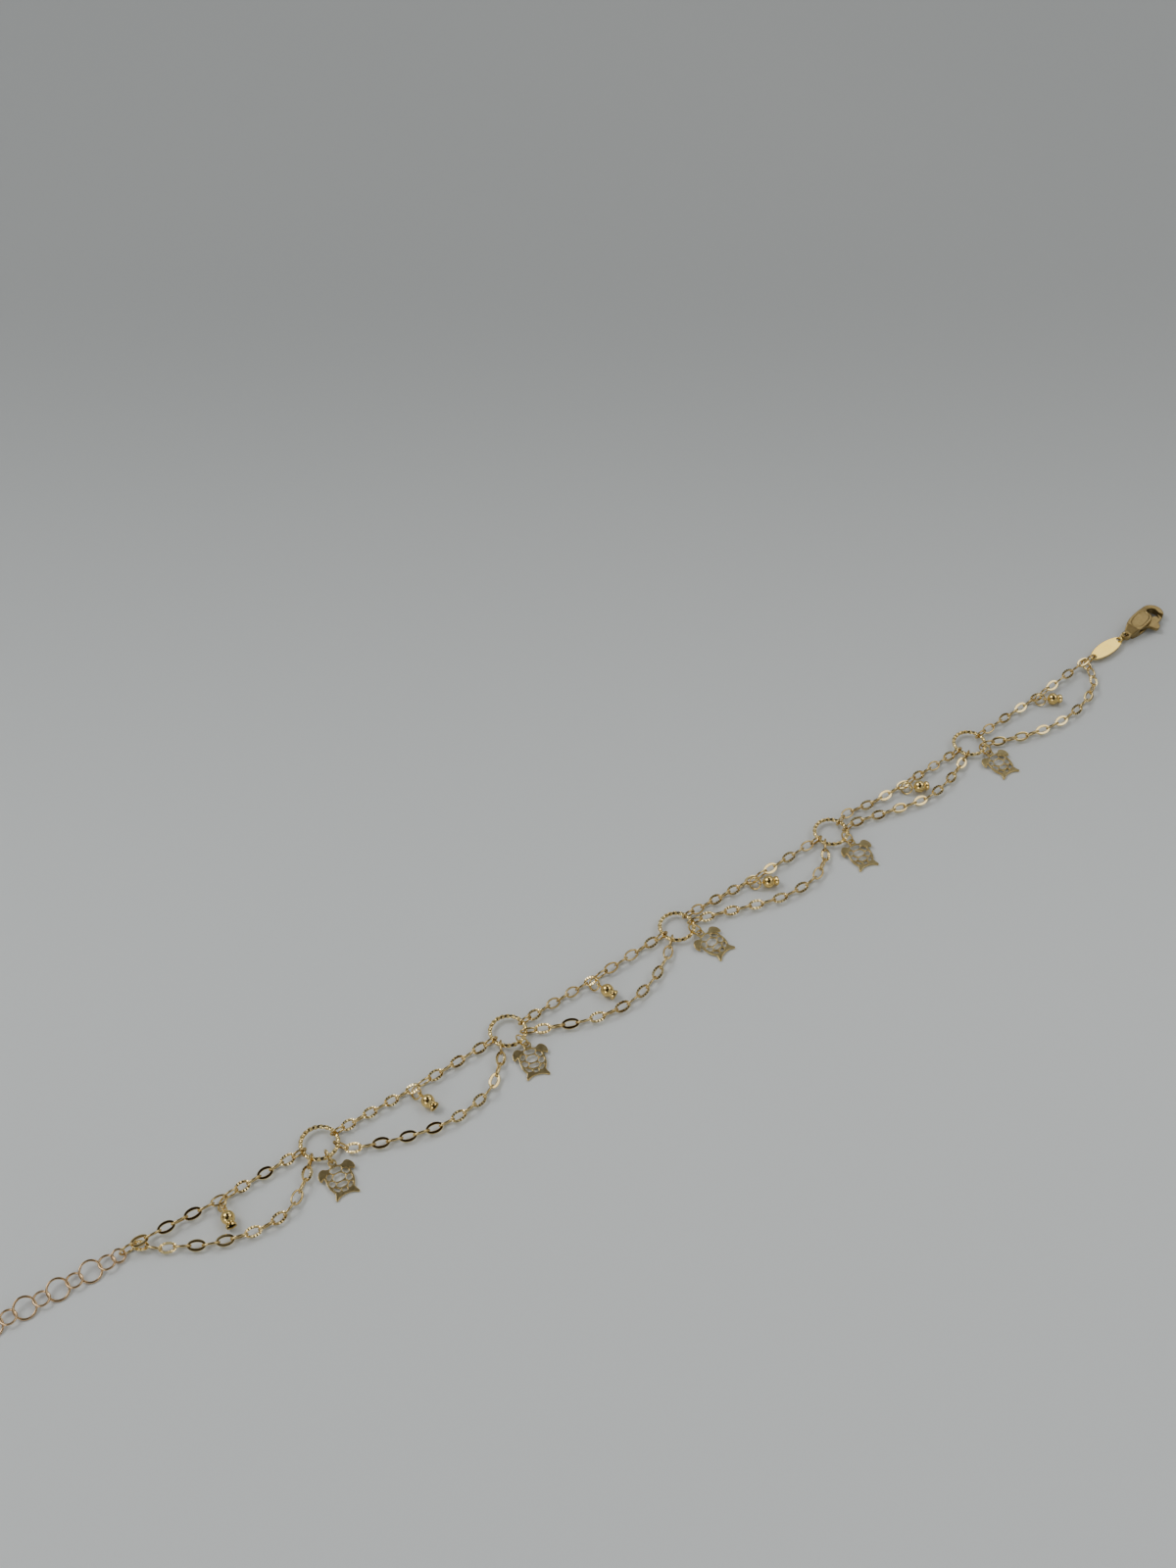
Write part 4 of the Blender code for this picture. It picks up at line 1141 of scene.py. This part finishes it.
# %% Clasp sizes
CLASP_HEADING = 9
CLASP_THICK = 2.0 * MM
PIVOT = (4.6 * MM, -0.45 * MM)
PIN_RADIUS = 0.28 * MM
PIN_HALF = 0.74 * MM
PIN_CHAMFER = 0.06 * MM
HOOK_CENTRE = (8.9 * MM, -0.3 * MM)
HOOK_OUTER = 2.175 * MM
HOOK_INNER = 1.125 * MM
HOOK_ROOT = 95
TAIL_OUTSIDE = 1.9 * MM
TAIL_HOLE = 1.0 * MM
TAIL_THICK = 0.8 * MM
TAIL_END = 1.0 * MM
TAIL_OPENING = 50
TAPER_START = 0.95 * MM
TAPER_END = 4.0 * MM
TAPER_TILT = -24
SLOT_START = 2.6 * MM
SLOT_END = 8.6 * MM
SLOT_BACK = 0.75 * MM
SLOT_HALF = 0.5 * MM
HOUSING_BACK = ((1.5, 1.2), (3.0, 1.7), (5.0, 1.95), (7.0, 1.93))
HOUSING_FRONT = ((8.0, 0.3), (8.0, -0.4), (7.6, -1.0), (6.5, -1.45), (5.0, -1.6), (3.0, -1.5),
                 (1.5, -1.15))
PANEL = ((2.5, 0.1), (3.2, 1.05), (5.0, 1.42), (7.0, 1.4), (7.9, 0.75), (7.4, -0.35), (6.3, -0.95),
         (4.8, -1.1), (3.2, -0.9))
PANEL_DEPTH = 0.18 * MM
PANEL_CUTTER = 0.6 * MM
NOSE_START = 6.4 * MM
NOSE_DRAFT = 0.32
LEVER_THICK = 0.7 * MM
LEVER_REACH = 4.9 * MM
LEVER_TAB = ((8.4, -2.55), (7.4, -2.6), (7.0, -3.3), (6.4, -3.6), (5.7, -3.5), (5.5, -2.9),
             (5.3, -1.9), (4.0, -1.25), (3.6, -0.6), (3.9, 0.15), (4.6, 0.4), (5.5, 0.25),
             (6.8, -0.2), (8.0, -0.9), (8.8, -1.35))
clasp_seat = Matrix.Translation(tail + Vector((0.0, 0.0, CLASP_THICK / 2))) @ Matrix.Rotation(
    math.radians(CLASP_HEADING), 4, "Z")
print("clasp from eye to nose:", round((HOOK_CENTRE[0] + HOOK_OUTER) / MM, 2), "mm")

# %% [markdown]
# ## Cut first, then cast
# Casting and tumbling round every edge, and bevels break where a slot meets a curve. So the sharp
# shape is cut with Booleans, remeshed into fine even faces and smoothed, all edges at once.

# %% Cutting and casting
BODY_VOXEL = 0.055 * MM
BODY_ROUNDS = 34
LEVER_VOXEL = 0.05 * MM
LEVER_ROUNDS = 6


def in_mm(points):
    return [(x * MM, y * MM) for x, y in points]


def cut_box(low, high, tilt=0.0):
    """A box to cut with, tilted about Y from its lowest corner."""
    low, high = Vector(low), Vector(high)
    mesh = bpy.data.meshes.new("cutter")
    shape = bmesh.new()
    bmesh.ops.create_cube(shape, size=1.0)
    turn = (Matrix.Translation(low) @ Matrix.Rotation(math.radians(tilt), 4, "Y")
            @ Matrix.Translation((high - low) / 2) @ Matrix.Diagonal((*(high - low), 1.0)))
    bmesh.ops.transform(shape, matrix=turn, verts=shape.verts)
    shape.to_mesh(mesh)
    shape.free()
    return add_object("cutter", mesh)


def cut_away(mesh, cutters):
    """A mesh with boxes cut from it."""
    holder = add_object("work", mesh)
    for cutter in cutters:
        step = holder.modifiers.new("cut", "BOOLEAN")
        step.operation = "DIFFERENCE"
        step.object = cutter
    return frozen(holder, *cutters)


def cast(mesh, voxel, rounds):
    """Round every edge as casting and tumbling do: fine even faces, then smoothing."""
    holder = add_object("work", mesh)
    even = holder.modifiers.new("even faces", "REMESH")
    even.mode = "VOXEL"
    even.voxel_size = voxel
    tumble = holder.modifiers.new("tumble", "SMOOTH")
    tumble.iterations = rounds
    tumble.factor = 0.5
    return frozen(holder)


def thin_nose(mesh):
    """Draw the cast body in towards its nose, as the pattern maker tapers the hook."""
    points = np.empty(len(mesh.vertices) * 3)
    mesh.vertices.foreach_get("co", points)
    points = points.reshape(-1, 3)
    share = np.clip((points[:, 0] - NOSE_START) / (HOOK_CENTRE[0] + HOOK_INNER - NOSE_START), 0.0, 1.0)
    points[:, 2] *= 1 - NOSE_DRAFT * share * share * (3 - 2 * share)
    mesh.vertices.foreach_set("co", points.ravel())
    mesh.update()


def fit_casting(mesh, name, node, body):
    """Turn a casting into its piece, at its place in the anklet."""
    coat(mesh, CAST_GOLD)
    mesh.transform(clasp_seat)
    finish_piece(name, mesh, [node], body=body, crease=80)


print("casting in voxels of", BODY_VOXEL / MM, "mm")

# %% Body, lever and pin
def build_clasp():
    tail_eye = arc((0.0, 0.0), TAIL_OUTSIDE / 2, 360 - TAIL_OPENING, TAIL_OPENING, 24)
    outer = arc(HOOK_CENTRE, HOOK_OUTER, HOOK_ROOT, -64, 30)
    back = smooth_run([tail_eye[-1], *in_mm(HOUSING_BACK), outer[0]])
    hook = outer[1:] + arc(HOOK_CENTRE, HOOK_INNER, -50, 125, 26)
    front = smooth_run([hook[-1], *in_mm(HOUSING_FRONT), tail_eye[0]])
    outline = tail_eye[:-1] + back + hook[:-1] + front[:-1]
    eye = arc((0.0, 0.0), TAIL_HOLE / 2, 0, 345, 23)
    body = pierced_sheet([outline, eye], CLASP_THICK, 0.0)
    far = CLASP_THICK
    slot = cut_box((SLOT_START, -3 * far, -SLOT_HALF), (SLOT_END, SLOT_BACK, SLOT_HALF))
    above = cut_box((-far, -far, TAIL_THICK / 2), (TAIL_END, far, far))
    below = cut_box((-far, -far, -far), (TAIL_END, far, -TAIL_THICK / 2))
    top_taper = cut_box((TAPER_START, -far, TAIL_THICK / 2), (TAPER_END, far, far), TAPER_TILT)
    panel_edge = smooth_run([*in_mm(PANEL), *in_mm(PANEL[:1])])[:-1]
    panel = pierced_sheet([panel_edge], PANEL_CUTTER, 0.0)
    panel.transform(Matrix.Translation(UP * ((CLASP_THICK + PANEL_CUTTER) / 2 - PANEL_DEPTH)))
    body = cut_away(body, [slot, above, below, top_taper, add_object("cutter", panel)])
    body = cast(body, BODY_VOXEL, BODY_ROUNDS)
    thin_nose(body)
    fit_casting(body, "lobster_clasp_body", "clasp_body", "anklet")

    nose = arc(PIVOT, LEVER_REACH, -8, -24, 5)
    lever = pierced_sheet([nose + soften(in_mm(LEVER_TAB), 0.15)], LEVER_THICK, 0.0)
    lever = cast(lever, LEVER_VOXEL, LEVER_ROUNDS)
    fit_casting(lever, "lobster_clasp_lever", "clasp_lever", "lever")

    neck = PIN_RADIUS - PIN_CHAMFER
    half_line = [(neck, PIN_HALF), (PIN_RADIUS, PIN_HALF - PIN_CHAMFER)]
    pin_line = [(0.0, -PIN_HALF), *[(r, -z) for r, z in half_line], *reversed(half_line), (0.0, PIN_HALF)]
    points, faces = lathe(pin_line, 24)
    pin_seat = clasp_seat @ Matrix.Translation((*PIVOT, 0.0))
    pin = bpy.data.meshes.new("pin")
    reshape(pin, lambda shape: add_shape(shape, points, faces, pin_seat))
    coat(pin, CAST_GOLD)
    finish_piece("lobster_clasp_pin", pin, ["clasp_pin"])
    print("clasp faces", len(body.polygons), "lever faces", len(lever.polygons))


build_clasp()
